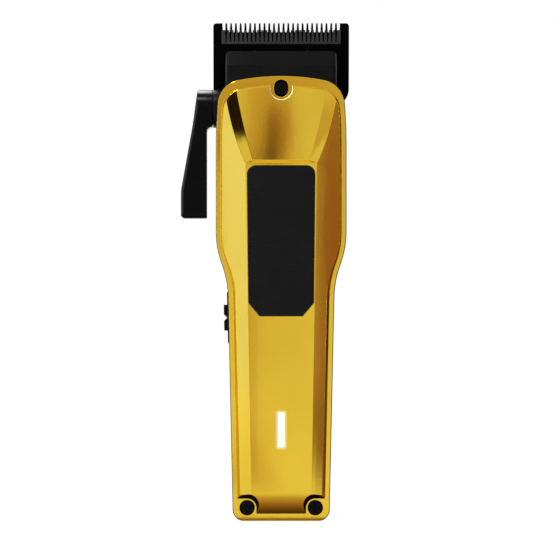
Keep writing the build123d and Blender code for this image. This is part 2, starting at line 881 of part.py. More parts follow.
def drive_frame():
    low_b = motor_high_b
    frame = block(-cheek_out, cheek_out, plate_front_n, plate_back_n, low_b, plate_high_b)
    cheek = block(cheek_in, cheek_out, cheek_front_n, cheek_back_n, plate_high_b, cheek_high_b)
    frame += both_sides(cheek)
    frame += block(-cheek_out, cheek_out, cheek_front_n, bridge_back_n, bridge_low_b, bridge_high_b)
    frame -= rod_x(lever_disc_r + running_gap, -cheek_out - past, -cheek_in + past, lever_n, lever_b)
    frame -= rod_z(bush_r, low_b, plate_high_b, 0, axis_n)
    for x in (-motor_screw_x, motor_screw_x):
        frame -= rod_z(motor_screw_r + screw_hole_gap, low_b, plate_high_b, x, axis_n)
    frame = on_blade(frame)
    frame += both_sides(block(ear_in, ear_out, ear_front_y, ear_back_y, ear_low_z, ear_high_z))
    hole_r = screw_shank_r + screw_hole_gap
    frame -= both_sides(rod_y(hole_r, -far, ear_back_y + past, frame_screw_x, frame_screw_z))
    frame += rod_y(frame_boss_r, parting_y + cover_wall, bridge_boss_y, 0, top_screw_z)
    return frame - rod_y(screw_shank_r, -far, 0, 0, top_screw_z)


def frame_screws():
    length = frame_screw_length + screw_head_thick
    piece = screw(screw_head_r, screw_head_thick, screw_shank_r, length)
    head_y = ear_front_y - screw_head_thick
    return [facing_front(piece, x, head_y, frame_screw_z) for x in (-frame_screw_x, frame_screw_x)]


def motor_can():
    can = motor_shape(0, motor_low_b, motor_high_b)
    can -= motor_shape(-motor_wall, motor_low_b - past, motor_high_b - motor_wall)
    can -= rod_z(bush_r, motor_low_b, motor_high_b + past, 0, axis_n)
    for x in (-motor_screw_x, motor_screw_x):
        can -= rod_z(motor_screw_r, motor_high_b - motor_wall - past, motor_high_b + past, x, axis_n)
    return on_blade(can)


def motor_magnets():
    low = motor_low_b + end_cap_thick + magnet_end_gap
    high = motor_high_b - motor_wall - magnet_end_gap
    ring = rod_z(motor_r - motor_wall - magnet_gap, low, high, 0, axis_n)
    ring -= rod_z(magnet_in_r, low, high, 0, axis_n)
    right = ring & block(0, motor_r, axis_n - magnet_half, axis_n + magnet_half, low, high)
    return [on_blade(right), on_blade(mirror(right, Plane.YZ))]


def terminal(x, grow):
    half = terminal_half + grow
    thick = terminal_thick / 2 + grow
    low = motor_low_b - terminal_tail
    return block(x - half, x + half, axis_n - thick, axis_n + thick, low, motor_low_b + end_cap_thick)


def motor_end_cap():
    high = motor_low_b + end_cap_thick
    cap = motor_shape(-motor_wall, motor_low_b, high)
    cap -= rod_z(shaft_r + running_gap, motor_low_b - past, high + past, 0, axis_n)
    return on_blade(cap - [terminal(x, 0) for x in (-terminal_x, terminal_x)])


def motor_terminals():
    return [on_blade(terminal(x, 0)) for x in (-terminal_x, terminal_x)]


def motor_leads():
    """Two wires from the motor's terminals to the top of the board."""
    leads = []
    start_z = tail_z - lead_gap
    end_z = board_high_z - lead_bend
    for x in (-terminal_x, terminal_x):
        path = FilletPolyline(
            (x, tail_y, start_z),
            (x, tail_y, (start_z + end_z) / 2),
            (x, board_back_y + lead_bend, end_z),
            (x, board_back_y, end_z),
            radius=lead_bend,
        )
        section = Plane(path @ 0, z_dir=path % 0) * Circle(lead_r)
        leads.append(sweep(section, path=path))
    return leads


def motor_bush():
    low = motor_high_b - motor_wall - bush_depth
    bush = rod_z(bush_r, low, plate_high_b, 0, axis_n)
    return on_blade(bush - rod_z(shaft_r + running_gap, low - past, plate_high_b + past, 0, axis_n))


def motor_screws():
    length = plate_thick + motor_wall + screw_head_thick
    piece = screw(motor_screw_head_r, screw_head_thick, motor_screw_r, length)
    head_b = plate_high_b + screw_head_thick
    return [on_blade(Pos(x, axis_n, head_b) * piece) for x in (-motor_screw_x, motor_screw_x)]


def motor_shaft():
    return on_blade(rod_z(shaft_r, motor_low_b - shaft_tail, crank_high_b - crank_web, 0, axis_n))


def armature():
    low = motor_low_b + end_cap_thick + commutator_gap + commutator_length
    core = rod_z(armature_r, low, low + armature_length, 0, axis_n)
    core -= rod_z(shaft_r, low - past, low + armature_length + past, 0, axis_n)
    mouth_half = armature_slot / 2
    pocket_half = armature_pocket / 2
    pocket_out = armature_r - armature_lip
    mouth = block(-mouth_half, mouth_half, armature_slot_in, armature_r + past, 0, armature_length)
    pocket = block(-pocket_half, pocket_half, armature_slot_in, pocket_out, 0, armature_length)
    for turn in (0, 120, 240):
        core -= Pos(0, axis_n, low) * Rot(0, 0, turn) * (mouth + pocket)
    return on_blade(core)


def commutator():
    low = motor_low_b + end_cap_thick + commutator_gap
    ring = rod_z(commutator_r, low, low + commutator_length, 0, axis_n)
    return on_blade(ring - rod_z(shaft_r, low - past, low + commutator_length + past, 0, axis_n))


def eccentric_cam():
    hub = rod_z(crank_hub_r, crank_low_b, crank_high_b, 0, axis_n)
    hub -= rod_z(shaft_r, crank_low_b - past, crank_high_b - crank_web, 0, axis_n)
    return on_blade(hub + rod_z(pin_r, crank_high_b, roller_high_b + pin_end, 0, axis_n - stroke))


def cam_roller():
    ring = rod_z(roller_r, roller_low_b, roller_high_b, 0, axis_n - stroke)
    hole_r = pin_r + running_gap / 2
    return on_blade(ring - rod_z(hole_r, roller_low_b - past, roller_high_b + past, 0, axis_n - stroke))


def cam_follower():
    prong_in = roller_r + fork_gap
    follower = both_sides(block(prong_in, fork_half, fork_front_n, yoke_back_n, fork_low_b, yoke_low_b))
    follower += block(-fork_half, fork_half, yoke_front_n, yoke_back_n, yoke_low_b, yoke_high_b)
    peg_end = -oil_gap - peg_short
    follower += [rod_y(peg_r, yoke_back_n - past, peg_end, x, peg_b) for x in (-peg_x, peg_x)]
    hole_r = spring_r + running_gap
    return on_blade(follower - rod_x(hole_r, -fork_half - past, fork_half + past, spring_n, spring_low_b))


def tension_spring():
    path = FilletPolyline(
        (-spring_half, spring_n, spring_high_b),
        (-spring_half, spring_n, spring_low_b),
        (spring_half, spring_n, spring_low_b),
        (spring_half, spring_n, spring_high_b),
        radius=spring_bend,
    )
    section = Plane(path @ 0, z_dir=path % 0) * Circle(spring_r)
    return on_blade(sweep(section, path=path))


# Blades


def tooth_gap(mouth, root, mouth_b, root_b):
    """Gap between two teeth, drawn in x and b: a tapered slot with a round root."""
    low = root_b + root / 2
    sides = Polyline((-root / 2, low), (-mouth / 2, mouth_b), (mouth / 2, mouth_b), (root / 2, low))
    round_root = ThreePointArc((root / 2, low), (0, root_b), (-root / 2, low))
    return make_face(sides.edges() + round_root.edges())


def tooth_row(gap, count, pitch):
    """A row of tooth gaps, spread evenly about the middle."""
    first = -(count - 1) / 2 * pitch
    return [Pos(first + i * pitch, 0) * gap for i in range(count)]


def sink_cone(grow, x):
    """Countersunk head of a blade screw, its face level with the back of the still blade."""
    cone = Cone(blade_screw_r + grow, blade_screw_head_r + grow, blade_screw_sink)
    return Pos(x, blade_thick - blade_screw_sink / 2, blade_screw_b) * Rot(-90, 0, 0) * cone


def still_blade():
    side = closed_face(
        (0, 0),
        (tip_thick, 0),
        (blade_thick, -tip_bevel),
        (blade_thick, -blade_length),
        (0, -blade_length),
    )
    face = Pos(0, -blade_length / 2) * Rectangle(2 * blade_half, blade_length)
    face = fillet(face.vertices().sort_by(Axis.Y)[-2:], blade_corner)
    face = fillet(face.vertices().sort_by(Axis.Y)[:2], heel_corner)
    gap = tooth_gap(still_gap_tip, still_gap_root, past, -still_gap_depth)
    face -= tooth_row(gap, still_gaps, still_pitch)
    plate = across(side, blade_half) & slab(face, far, -far)
    hole_r = blade_screw_r + blade_screw_gap
    for x in (-blade_screw_x, blade_screw_x):
        plate -= rod_y(hole_r, -past, blade_thick + past, x, blade_screw_b)
        plate -= sink_cone(blade_screw_gap, x)
    return on_blade(plate)


def blade_screws():
    pieces = []
    low = blade_thick - blade_screw_length
    high = blade_thick - blade_screw_sink
    for x in (-blade_screw_x, blade_screw_x):
        shank = rod_y(blade_screw_r, low, high, x, blade_screw_b)
        pieces.append(on_blade(shank + sink_cone(0, x)))
    return pieces


def cutter_blade():
    side = closed_face(
        (-oil_gap, -cutter_tip),
        (-cutter_tip_thick, -cutter_tip),
        (-cutter_root_thick, -cutter_root),
        (-cutter_thick, -cutter_root - cutter_step),
        (-cutter_thick, -cutter_heel),
        (-oil_gap, -cutter_heel),
    )
    middle = (cutter_heel + cutter_tip) / 2
    face = Pos(0, -middle) * Rectangle(2 * cutter_half, cutter_heel - cutter_tip)
    gap = tooth_gap(cutter_gap_tip, cutter_gap_root, past - cutter_tip, -cutter_root)
    face -= tooth_row(gap, cutter_teeth - 1, cutter_pitch)
    plate = across(side, cutter_half) & slab(face, far, -far)
    for x in (-peg_x, peg_x):
        plate -= rod_y(peg_r + running_gap, -far, far, x, peg_b)
    return on_blade(plate)


def blade_carriage():
    carriage = both_sides(block(lug_in, lug_out, lug_front_n, 0, lug_low_b, lug_high_b))
    carriage += block(-lug_in, lug_in, -strap_thick, 0, strap_low_b, strap_high_b)
    screw_end = blade_thick - blade_screw_length
    for x in (-blade_screw_x, blade_screw_x):
        carriage -= rod_y(blade_screw_r, screw_end - past, past, x, blade_screw_b)
    reach = lever_pin_r + lever_slot_reach
    near_n = lever_n + lever_crank * cos(radians(lever_swing / 2)) - reach
    far_n = lever_n + lever_crank + reach
    half = lever_pin_r + lever_pin_gap
    slot_b = lever_b + slide_travel / 2
    slot = block(-lug_out - past, -lug_in + past, near_n, far_n, slot_b - half, slot_b + half)
    return on_blade(carriage - slot)


# Taper lever, about an axis along X


def edge_wedge(edge):
    """Stock outside the chamfer on one long outer edge of the lever."""
    low, high = [Vector(*end) for end in edge.vertices().sort_by(Axis.Z)]
    along = (high - low).normalized()
    upper = high.Z > lever_bend_z + past
    low -= along * (past if upper else overrun)
    high += along * (overrun if upper else past)
    side = 1 if edge.center().Y < lever_y else -1
    reach = lever_edge + past
    section = closed_face((-past, -side * past), (reach, -side * past), (-past, side * reach))
    return extrude(Plane(low, x_dir=(1, 0, 0), z_dir=along) * section, (high - low).length, dir=along)


def taper_lever():
    hub_high = lever_z + lever_hub_r
    hub_low = lever_z - lever_hub_r
    front = FilletPolyline(
        (-lever_hub_in, hub_high),
        (-lever_hub_out, hub_high),
        (-lever_knee_out, lever_knee_z),
        (-lever_tip_out, lever_bend_z),
        (-lever_tip_out, lever_low_z + lever_chamfer),
        (-lever_tip_out + lever_chamfer, lever_low_z),
        (-lever_in, lever_low_z),
        (-lever_in, hub_low),
        (-lever_hub_in, hub_low),
        radius=(
            lever_hub_round,
            lever_knee_radius,
            lever_bend_radius,
            lever_ease,
            lever_ease,
            lever_ease,
            lever_inner_round,
        ),
    )
    front = make_face(front.edges() + [Line(front @ 1, front @ 0)])
    tip = lever_tip_half - lever_tip_corner
    rounds = [Pos(lever_y, lever_z) * Circle(lever_hub_r)]
    for y in (lever_y - tip, lever_y + tip):
        rounds.append(Pos(y, lever_low_z + lever_tip_corner) * Circle(lever_tip_corner))
    side = make_hull([edge for circle in rounds for edge in circle.edges()])
    lever = slab(front, far, -far) & across(side, far)
    lever -= [
        edge_wedge(edge) for edge in lever.edges().filter_by(GeomType.LINE)
        if edge.bounding_box().size.Z > lever_tip_half and edge.center().X < -lever_hub_out
    ]
    bore_r = lever_spigot_r + lever_spigot_gap
    lever -= rod_x(bore_r, -lever_spigot_x - lever_gap, 0, lever_y, lever_z)
    lever -= rod_x(lever_shaft_r, -lever_pocket_x + lever_pocket_web, 0, lever_y, lever_z)
    lever -= rod_x(screw_shank_r + screw_hole_gap, -far, 0, lever_y, lever_z)
    pocket_r = lever_screw_r + head_pocket_gap
    return lever - rod_x(pocket_r, -far, -lever_pocket_x, lever_y, lever_z)


def lever_shaft():
    disc_out = -cheek_out + lever_disc_gap
    disc_in = -cheek_in - lever_disc_gap
    shaft = rod_x(lever_shaft_r, -lever_pocket_x + lever_pocket_web, disc_out, lever_y, lever_z)
    shaft += rod_x(lever_disc_r, disc_out, disc_in, lever_y, lever_z)
    turn = radians(lever_swing / 2)
    pin_y, pin_z = blade_point(lever_n + lever_crank * cos(turn), lever_b + lever_crank * sin(turn))
    shaft += rod_x(lever_pin_r, disc_in, -lever_pin_in, pin_y, pin_z)
    return shaft - rod_x(screw_shank_r, -far, -lever_pocket_x + lever_screw_length, lever_y, lever_z)


def lever_screw():
    length = lever_screw_length + screw_head_thick
    piece = screw(lever_screw_r, screw_head_thick, screw_shank_r, length)
    return Pos(-lever_pocket_x - screw_head_thick, lever_y, lever_z) * Rot(0, -90, 0) * piece


def lever_bush():
    bush = rod_x(bush_out_r, -lever_boss_x, -bush_in, lever_y, lever_z)
    return bush - rod_x(lever_shaft_r + running_gap, -far, 0, lever_y, lever_z)


# Switch, board, cell and socket


def switch_bezel():
    length = bezel_length - 2 * bezel_gap
    width = bezel_width - 2 * bezel_gap
    bezel = plaque(length, width, -bezel_depth, bezel_proud, bezel_corner)
    return switch_frame() * (bezel - plaque(slot_length, slot_width, -overrun, overrun, slot_corner))


def toggle_space(grow, travel):
    """The power switch's own small lever, grown by a clearance and drawn out by its travel."""
    reach = toggle_reach + grow
    depth = toggle_depth + grow
    low = switch_z - toggle_half - grow
    high = switch_z + toggle_half + grow + travel
    return block(-board_half - reach, reach - board_half, finger_y - depth, finger_y + depth, low, high)


def switch_slider():
    inner = -wall - switch_gap
    slider = plaque(slider_length, slider_width, inner, slider_proud, slot_corner)
    notch_side = slider_notch * sqrt(2)
    slider -= Pos(0, 0, slider_proud) * Rot(0, 45, 0) * Box(notch_side, 2 * slider_width, notch_side)
    plate_length = slot_length + 2 * slider_lap
    plate_width = slot_width + 2 * slider_lap
    slider += plaque(plate_length, plate_width, inner - slider_plate, inner, slot_corner)
    slider = switch_frame() * slider
    plate_x = -half_width(switch_z) + wall + switch_gap + slider_plate / 2
    finger_x = -board_half - finger_gap
    front = finger_y - toggle_depth
    low = switch_z - finger_half
    finger = block(plate_x, finger_x, front, switch_y, low, low + 2 * finger_half)
    return slider + (finger - toggle_space(0, 0))


def switch_toggle():
    return toggle_space(0, 0)


def power_switch():
    right = switch_body_width - board_half
    back = board_back_y + switch_body_depth
    low = switch_z + (switch_travel - switch_body_length) / 2
    body = block(-board_half, right, board_back_y, back, low, low + switch_body_length)
    return body - toggle_space(switch_gap, switch_travel)


def circuit_board():
    front = board_front_y
    back = board_back_y
    board = block(-board_half, board_half, front, back, board_step_z, board_high_z)
    board += block(-board_foot_half, board_foot_half, front, back, board_low_z, board_step_z)
    hole_r = board_screw_r + screw_hole_gap
    for z in (post_low_z, post_high_z):
        board -= both_sides(rod_y(hole_r, -far, far, post_x, z))
    half = chip_size / 2
    chip_high_z = chip_low_z + chip_size
    return board + block(-half, half, front - chip_thick, front, chip_low_z, chip_high_z)


def board_screws():
    length = board_screw_length + board_screw_head
    piece = screw(board_screw_head_r, board_screw_head, board_screw_r, length)
    head_y = board_front_y - board_screw_head
    spots = [(x, z) for x in (-post_x, post_x) for z in (post_low_z, post_high_z)]
    return [facing_front(piece, x, head_y, z) for x, z in spots]


def charge_socket():
    high = socket_floor + socket_depth
    shell = socket_slot(0, socket_floor, high)
    shell -= socket_slot(-socket_wall, socket_floor - past, high - socket_wall)
    half = tongue_width / 2
    thick = tongue_thick / 2
    low = high - socket_wall - tongue_length
    return shell + block(-half, half, socket_y - thick, socket_y + thick, low, high - socket_wall)


def indicator_led():
    low = window_z - led_height / 2
    front = board_front_y - led_thick
    return block(-led_half, led_half, front, board_front_y, low, low + led_height)


def battery_cell():
    cell = rod_z(battery_r, battery_low_z, battery_high_z, 0, battery_y)
    return chamfer(cell.edges().filter_by(GeomType.CIRCLE), battery_edge)


def battery_tabs():
    near = battery_y - tab_half
    back = battery_y + tab_half
    low = block(-tab_half, tab_half, near, back, battery_low_z - tab_thick, battery_low_z)
    high = block(-tab_half, tab_half, near, back, battery_high_z, battery_high_z + tab_thick)
    return [low, high]


def battery_leads():
    """Two short wires from the board to the cell's tabs."""
    reach = tab_thick + lead_r
    heights = (battery_low_z - reach, battery_high_z + reach)
    return [rod_y(lead_r, board_back_y, battery_y, 0, z) for z in heights]


makers = (
    back_housing, front_lid, lid_screws, grip_pad, light_window, blade_cover,
    drive_frame, frame_screws, motor_can, motor_magnets, motor_end_cap, motor_terminals,
    motor_leads, motor_bush, motor_screws, motor_shaft, armature, commutator,
    eccentric_cam, cam_roller, cam_follower, tension_spring,
    still_blade, cutter_blade, blade_screws, blade_carriage,
    taper_lever, lever_shaft, lever_screw, lever_bush,
    switch_bezel, switch_slider, switch_toggle, power_switch,
    circuit_board, board_screws, charge_socket, indicator_led,
    battery_cell, battery_tabs, battery_leads,
)


def save(maker):
    piece = maker()
    if isinstance(piece, list):
        piece = Compound(children=[solid for item in piece for solid in item.solids()])
    export_step(piece, f"parts/{maker.__name__}.step")


os.makedirs("parts", exist_ok=True)
for maker in makers:
    save(maker)
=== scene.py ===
"""Looks of a cordless hair clipper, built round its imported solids.

Each piece that shows is finished from a merged copy of its solid: edges are rounded, the grip
pad gets its ribs and the screws their cross recesses. The works inside keep their solids and
get a finish. A white studio with soft cards stands round the clipper.
"""

import json
import math

import bmesh
import bpy
from bpy.props import FloatProperty, FloatVectorProperty, PointerProperty
from mathutils import Matrix, Vector

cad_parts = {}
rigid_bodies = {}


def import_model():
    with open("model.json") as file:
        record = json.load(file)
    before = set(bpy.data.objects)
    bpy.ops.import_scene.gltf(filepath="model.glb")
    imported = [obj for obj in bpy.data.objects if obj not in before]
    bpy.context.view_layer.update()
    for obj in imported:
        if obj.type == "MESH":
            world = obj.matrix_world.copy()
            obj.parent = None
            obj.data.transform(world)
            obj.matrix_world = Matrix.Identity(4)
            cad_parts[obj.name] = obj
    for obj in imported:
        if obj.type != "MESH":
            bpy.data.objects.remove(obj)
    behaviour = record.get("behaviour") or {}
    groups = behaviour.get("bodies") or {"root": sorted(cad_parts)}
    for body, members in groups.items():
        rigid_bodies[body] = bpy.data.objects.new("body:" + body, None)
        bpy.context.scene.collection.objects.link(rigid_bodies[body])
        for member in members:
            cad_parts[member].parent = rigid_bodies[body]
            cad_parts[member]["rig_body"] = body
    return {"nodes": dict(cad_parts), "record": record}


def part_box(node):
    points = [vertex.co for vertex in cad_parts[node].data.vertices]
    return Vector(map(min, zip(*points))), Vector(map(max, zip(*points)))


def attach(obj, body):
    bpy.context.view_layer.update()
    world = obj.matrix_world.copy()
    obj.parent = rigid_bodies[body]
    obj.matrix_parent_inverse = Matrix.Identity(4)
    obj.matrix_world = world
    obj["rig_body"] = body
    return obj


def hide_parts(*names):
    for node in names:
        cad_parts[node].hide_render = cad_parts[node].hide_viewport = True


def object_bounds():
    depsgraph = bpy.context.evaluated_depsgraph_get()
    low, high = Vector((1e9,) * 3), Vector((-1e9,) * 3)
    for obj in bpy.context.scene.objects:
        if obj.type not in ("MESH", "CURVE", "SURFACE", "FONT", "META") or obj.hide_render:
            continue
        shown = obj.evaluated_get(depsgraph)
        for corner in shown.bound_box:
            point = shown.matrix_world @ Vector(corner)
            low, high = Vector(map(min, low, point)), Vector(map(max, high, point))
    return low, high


bl_info = {
    "name": "Hair Clipper Looks",
    "version": (1, 0, 0),
    "blender": (4, 5, 0),
    "location": "View3D > Sidebar > Clipper",
    "description": "Finishes a cordless hair clipper and stands it in a white studio",
    "category": "Object",
}

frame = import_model()
cad_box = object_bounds()

WELD_GAP = 0.000001
FLAT_ANGLE = math.radians(0.2)
HEAD_AREA = 0.000008        # flat faces larger than this are screw heads
POCKET_ROOM = 0.0004        # a screw's pocket past the flat of its head
SLOT_ROOM = 0.0016          # the same along the clipper, where the top hole is longer
SQUARE_ON = 0.999           # cosine past which a face stands square to a direction
FACING = 0.7                # cosine past which a face looks a screw's way
BACKWARD = 0.5              # cosine past which a face of the lid looks back
WALL_LEAN = (-0.6, -0.2)    # how far the lid's drafted walls face forward
LID_CREASE = math.radians(7)
PAD_CREASE = math.radians(50)
RIB_STEPS = 4               # cuts across each rib of the pad
# Coats of the lid besides its plating: painted shade, dull black in the screw pockets and foot
# notches, and a painted highlight, pale on the lip round the top screw.
PAINTED_SHADE, PAINTED_HIGHLIGHT = 1, 2            # coats of the lid, after its plating
GOLD_SPREAD = 0.02          # how far roughness wanders to each side, on each kind of finish
MOULD_SPREAD = 0.04
METAL_SPREAD = 0.05
PALE_PATCH = 1.25           # brightness of a moulding's paler patches
DEEP_LINE = 0.82            # brightness of a metal's deeper lines
# Metal edges are made brighter: a painted highlight.
PAINTED_EDGE_HIGHLIGHT = 1.5           # brightness of a metal's edges
WHITE = (1, 1, 1, 1)


def number(name, description, default, **more):
    """A plain number that a user may change."""
    return FloatProperty(name=name, description=description, default=default, **more)


def length(name, description, default):
    """A size in metres that a user may change."""
    return number(name, description, default, unit="LENGTH", precision=5)


def share(name, description, default):
    """A number from 0 to 1 that a user may change."""
    return number(name, description, default, subtype="FACTOR", min=0, max=1)


def tint(name, description, default):
    """A colour that a user may change."""
    return FloatVectorProperty(
        name=name, description=description, default=default, subtype="COLOR", min=0, max=1,
    )


class ClipperSizes(bpy.types.PropertyGroup):
    """Small sizes that the solids leave to the finish."""

    edge_round: length("Edge rounding", "Rounding of moulded edges", 0.00014)
    fine_round: length("Fine rounding", "Rounding of the blade cover's edges", 0.0001)
    # The lip within this reach of the top screw gets a painted highlight.
    lip_reach: length("Lip reach", "How far the cut lip lies from the top screw", 0.0042)
    notch_reach: length("Notch reach", "How far the foot notches reach from their screws", 0.0062)
    # Depth past which a foot notch gets painted shade.
    notch_shade_floor: length("Notch shade floor", "Height up to which a foot notch is bare", 0.0018)
    tooth_round: length("Tooth rounding", "Rounding of the blades' ground edges", 0.00006)
    rib_pitch: length("Rib pitch", "Distance from one rib of the grip pad to the next", 0.00105)
    rib_depth: length("Rib depth", "Depth of the grooves in the grip pad", 0.00016)
    land_depth: length("Land depth", "Cutter's ground land, below the still blade's tips", 0.0068)
    lever_bend: length("Lever bend", "Height of the lever's bend above its end", 0.0094)
    lever_bend_room: length("Bend room", "Room round the bend whose edges stay as they are", 0.0020)
    hub_reach: length("Hub reach", "How far the lever's hub closes up to its boss", 0.0002)
    cross_span: length("Cross span", "Length of a screw's cross recess", 0.0030)
    cross_width: length("Cross width", "Width of a screw's cross recess", 0.0008)
    cross_depth: length("Cross depth", "Depth of a screw's cross recess", 0.0006)
    cross_draft: length("Cross draft", "How far the recess's walls lean in", 0.00012)


class ClipperFinish(bpy.types.PropertyGroup):
    """Colours and gloss of the finishes."""

    gold: tint("Gold", "Plating of the lid", (0.69, 0.47, 0.032))
    gold_deep: tint("Deep gold", "Plating where it is a shade deeper", (0.66, 0.43, 0.026))
    gold_rough: share("Gold roughness", "Roughness of the plating", 0.10)
    # Colour of the painted highlight on the lip round the top screw.
    painted_lip_colour: tint("Cut gold", "Bare cut lip round the top screw", (0.88, 0.78, 0.50))
    housing: tint("Housing", "Black of the housing", (0.003, 0.003, 0.0033))
    cover: tint("Cover", "Black of the blade cover", (0.0042, 0.0042, 0.0043))
    lever: tint("Lever", "Black of the lever and the switch", (0.0008, 0.0008, 0.0008))
    rubber: tint("Rubber", "Black of the grip pad", (0.0042, 0.0042, 0.0043))
    light: tint("Light", "Colour of the lit window", (1.0, 0.98, 0.94))
    light_rim: tint("Light rim", "Colour of the lit window at its rim", (0.50, 0.42, 0.16))
    # The plating round the window gets a painted glow: it emits light, though it is no lamp.
    glow_tint: tint("Glow tint", "Colour of the light round the window", (0.5, 0.85, 0.8))
    glow: number("Glow", "Strength of the light round the window", 0.38)
    glow_reach: length("Glow reach", "How far the glow reaches past the slot", 0.0012)
    painted_glow_half_width: length("Painted glow half width", "Half the width of the glowing slot", 0.0010)
    painted_glow_half_height: length("Painted glow half height", "Half the height of the glowing slot", 0.0058)
    core_fade: length("Core fade", "Width over which the lit core fades to its rim", 0.0006)
    core_half_width: length("Core half width", "Half the width of the lit core", 0.0008)
    core_half_height: length("Core half height", "Half the height of the lit core", 0.0055)


class ClipperStudio(bpy.types.PropertyGroup):
    """The camera and the light."""

    camera_distance: length("Camera distance", "From the middle of the clipper to the camera", 1.5)
    picture_width: length("Picture width", "Width that the picture takes in at the lid", 0.1887)
    aim_x: length("Aim across", "Middle of the picture across the clipper", -0.00126)
    aim_z: length("Aim height", "Middle of the picture above the base", 0.0831)
    floor_half: length("Floor half width", "From the middle of the floor to its edge", 6.0)
    fill: number("Fill", "Strength of the light from all sides", 0.7)
    key: number("Key", "Power of the lamp at the left", 14.0, unit="POWER")
    key_size: length("Key size", "Side of the lamp at the left", 0.6)
    key_place: FloatVectorProperty(
        name="Key place", description="Where the lamp hangs", default=(-0.7, -0.9, 0.6),
        subtype="TRANSLATION",
    )
    key_aim: length("Key aim", "Height above the base that the lamp faces", 0.1)


# Node trees


def add(tree, kind, inputs=None, **settings):
    """A node with its settings, and its inputs set to a value or joined to a socket."""
    made = tree.nodes.new(kind)
    for name, value in settings.items():
        setattr(made, name, value)
    for name, value in (inputs or {}).items():
        socket = made.inputs[name]
        if isinstance(value, bpy.types.NodeSocket):
            tree.links.new(value, socket)
        else:
            socket.default_value = value
    return made


def mixed(tree, factor, first, second):
    """Colour between two colours."""
    inputs = {0: factor, 6: opaque(first), 7: opaque(second)}
    return add(tree, "ShaderNodeMix", inputs, data_type="RGBA").outputs[2]


def opaque(colour):
    """A colour with its alpha, or a socket as it is."""
    return colour if isinstance(colour, bpy.types.NodeSocket) else (*colour, 1.0)


def ranged(tree, value, low, high, from_low=0.0, from_high=1.0, **settings):
    """A value moved from one range to another."""
    inputs = {
        "Value": value, "From Min": from_low, "From Max": from_high, "To Min": low, "To Max": high,
    }
    return add(tree, "ShaderNodeMapRange", inputs, **settings).outputs[0]


def faded(tree, distance, gone, full):
    """1 at one distance, fading smoothly to 0 at another."""
    return ranged(tree, distance, 0.0, 1.0, gone, full, interpolation_type="SMOOTHSTEP")


def worked(tree, operation, *values, **settings):
    """The result of a sum on one or two values."""
    inputs = dict(enumerate(values))
    return add(tree, "ShaderNodeMath", inputs, operation=operation, **settings).outputs[0]


def bumped(tree, height, normal, strength, distance):
    """A normal that follows a height."""
    inputs = {"Height": height, "Strength": strength, "Distance": distance, "Normal": normal}
    return add(tree, "ShaderNodeBump", inputs).outputs[0]


def plain_name(make):
    """The name of what a function makes."""
    return make.__name__.replace("_", " ").capitalize()


def new_group(name, inputs, outputs):
    """An empty shader group with named sockets, and its two end nodes."""
    group = bpy.data.node_groups.new(name, "ShaderNodeTree")
    for socket, default in inputs.items():
        kind = "NodeSocketVector" if isinstance(default, tuple) else "NodeSocketFloat"
        group.interface.new_socket(socket, in_out="INPUT", socket_type=kind).default_value = default
    for socket, kind in outputs.items():
        group.interface.new_socket(socket, in_out="OUTPUT", socket_type=kind)
    return group, group.nodes.new("NodeGroupInput"), group.nodes.new("NodeGroupOutput")


def placed(tree, make, inputs):
    """What a shared group, made once, puts out in a material."""
    name = plain_name(make)
    group = bpy.data.node_groups.get(name) or make(name)
    return add(tree, "ShaderNodeGroup", inputs, node_tree=group).outputs


def blended(tree, factor, first, second):
    """A surface between two shaders."""
    inputs = {0: factor, 1: first.outputs[0], 2: second.outputs[0]}
    return add(tree, "ShaderNodeMixShader", inputs).outputs[0]


def bare_tree(owner):
    """The emptied node tree of a material or a world."""
    owner.use_nodes = True
    owner.node_tree.nodes.clear()
    return owner.node_tree


def noise(tree, place, scale, detail):
    """Height of a noise at each place."""
    inputs = {"Vector": place, "Scale": scale, "Detail": detail}
    return add(tree, "ShaderNodeTexNoise", inputs).outputs[0]


def toned(tree, height):
    """A tone from the middle range of a noise."""
    return ranged(tree, height, 0.0, 1.0, from_low=0.3, from_high=0.7)


def moulded_grain(name):
    """Fine spark-eroded grain of a mould, and a slow change of tone."""
    inputs = {"Grain": 2500.0, "Patch": 60.0}
    outputs = {"Height": "NodeSocketFloat", "Tone": "NodeSocketFloat"}
    group, start, end = new_group(name, inputs, outputs)
    place = add(group, "ShaderNodeTexCoord").outputs["Object"]
    fine = noise(group, place, start.outputs["Grain"], detail=3.0)
    slow = noise(group, place, start.outputs["Patch"], detail=2.0)
    group.links.new(fine, end.inputs["Height"])
    group.links.new(toned(group, slow), end.inputs["Tone"])
    return group


def ground_lines(name):
    """Fine lines that a wheel leaves on steel, long in one direction."""
    inputs = {"Stretch": (9000.0, 9000.0, 300.0)}
    outputs = {"Height": "NodeSocketFloat", "Tone": "NodeSocketFloat"}
    group, start, end = new_group(name, inputs, outputs)
    place = add(group, "ShaderNodeTexCoord").outputs["Object"]
    drawn = add(group, "ShaderNodeMapping", {"Vector": place, "Scale": start.outputs["Stretch"]})
    lines = noise(group, drawn.outputs[0], scale=1.0, detail=2.0)
    group.links.new(lines, end.inputs["Height"])
    group.links.new(toned(group, lines), end.inputs["Tone"])
    return group


def soft_edges(name):
    """A rounded normal at the edges, and a mask of where they are."""
    outputs = {"Normal": "NodeSocketVector", "Edge": "NodeSocketFloat"}
    group, start, end = new_group(name, {"Radius": 0.0003, "Gain": 3.0}, outputs)
    soft = add(group, "ShaderNodeBevel", {"Radius": start.outputs["Radius"]}, samples=6).outputs[0]
    true_normal = add(group, "ShaderNodeNewGeometry").outputs["Normal"]
    both = add(group, "ShaderNodeVectorMath", {0: soft, 1: true_normal}, operation="DOT_PRODUCT")
    turned = worked(group, "SUBTRACT", 1.0, both.outputs["Value"])
    edge = worked(group, "MULTIPLY", turned, start.outputs["Gain"], use_clamp=True)
    group.links.new(soft, end.inputs["Normal"])
    group.links.new(edge, end.inputs["Edge"])
    return group


# Finishes


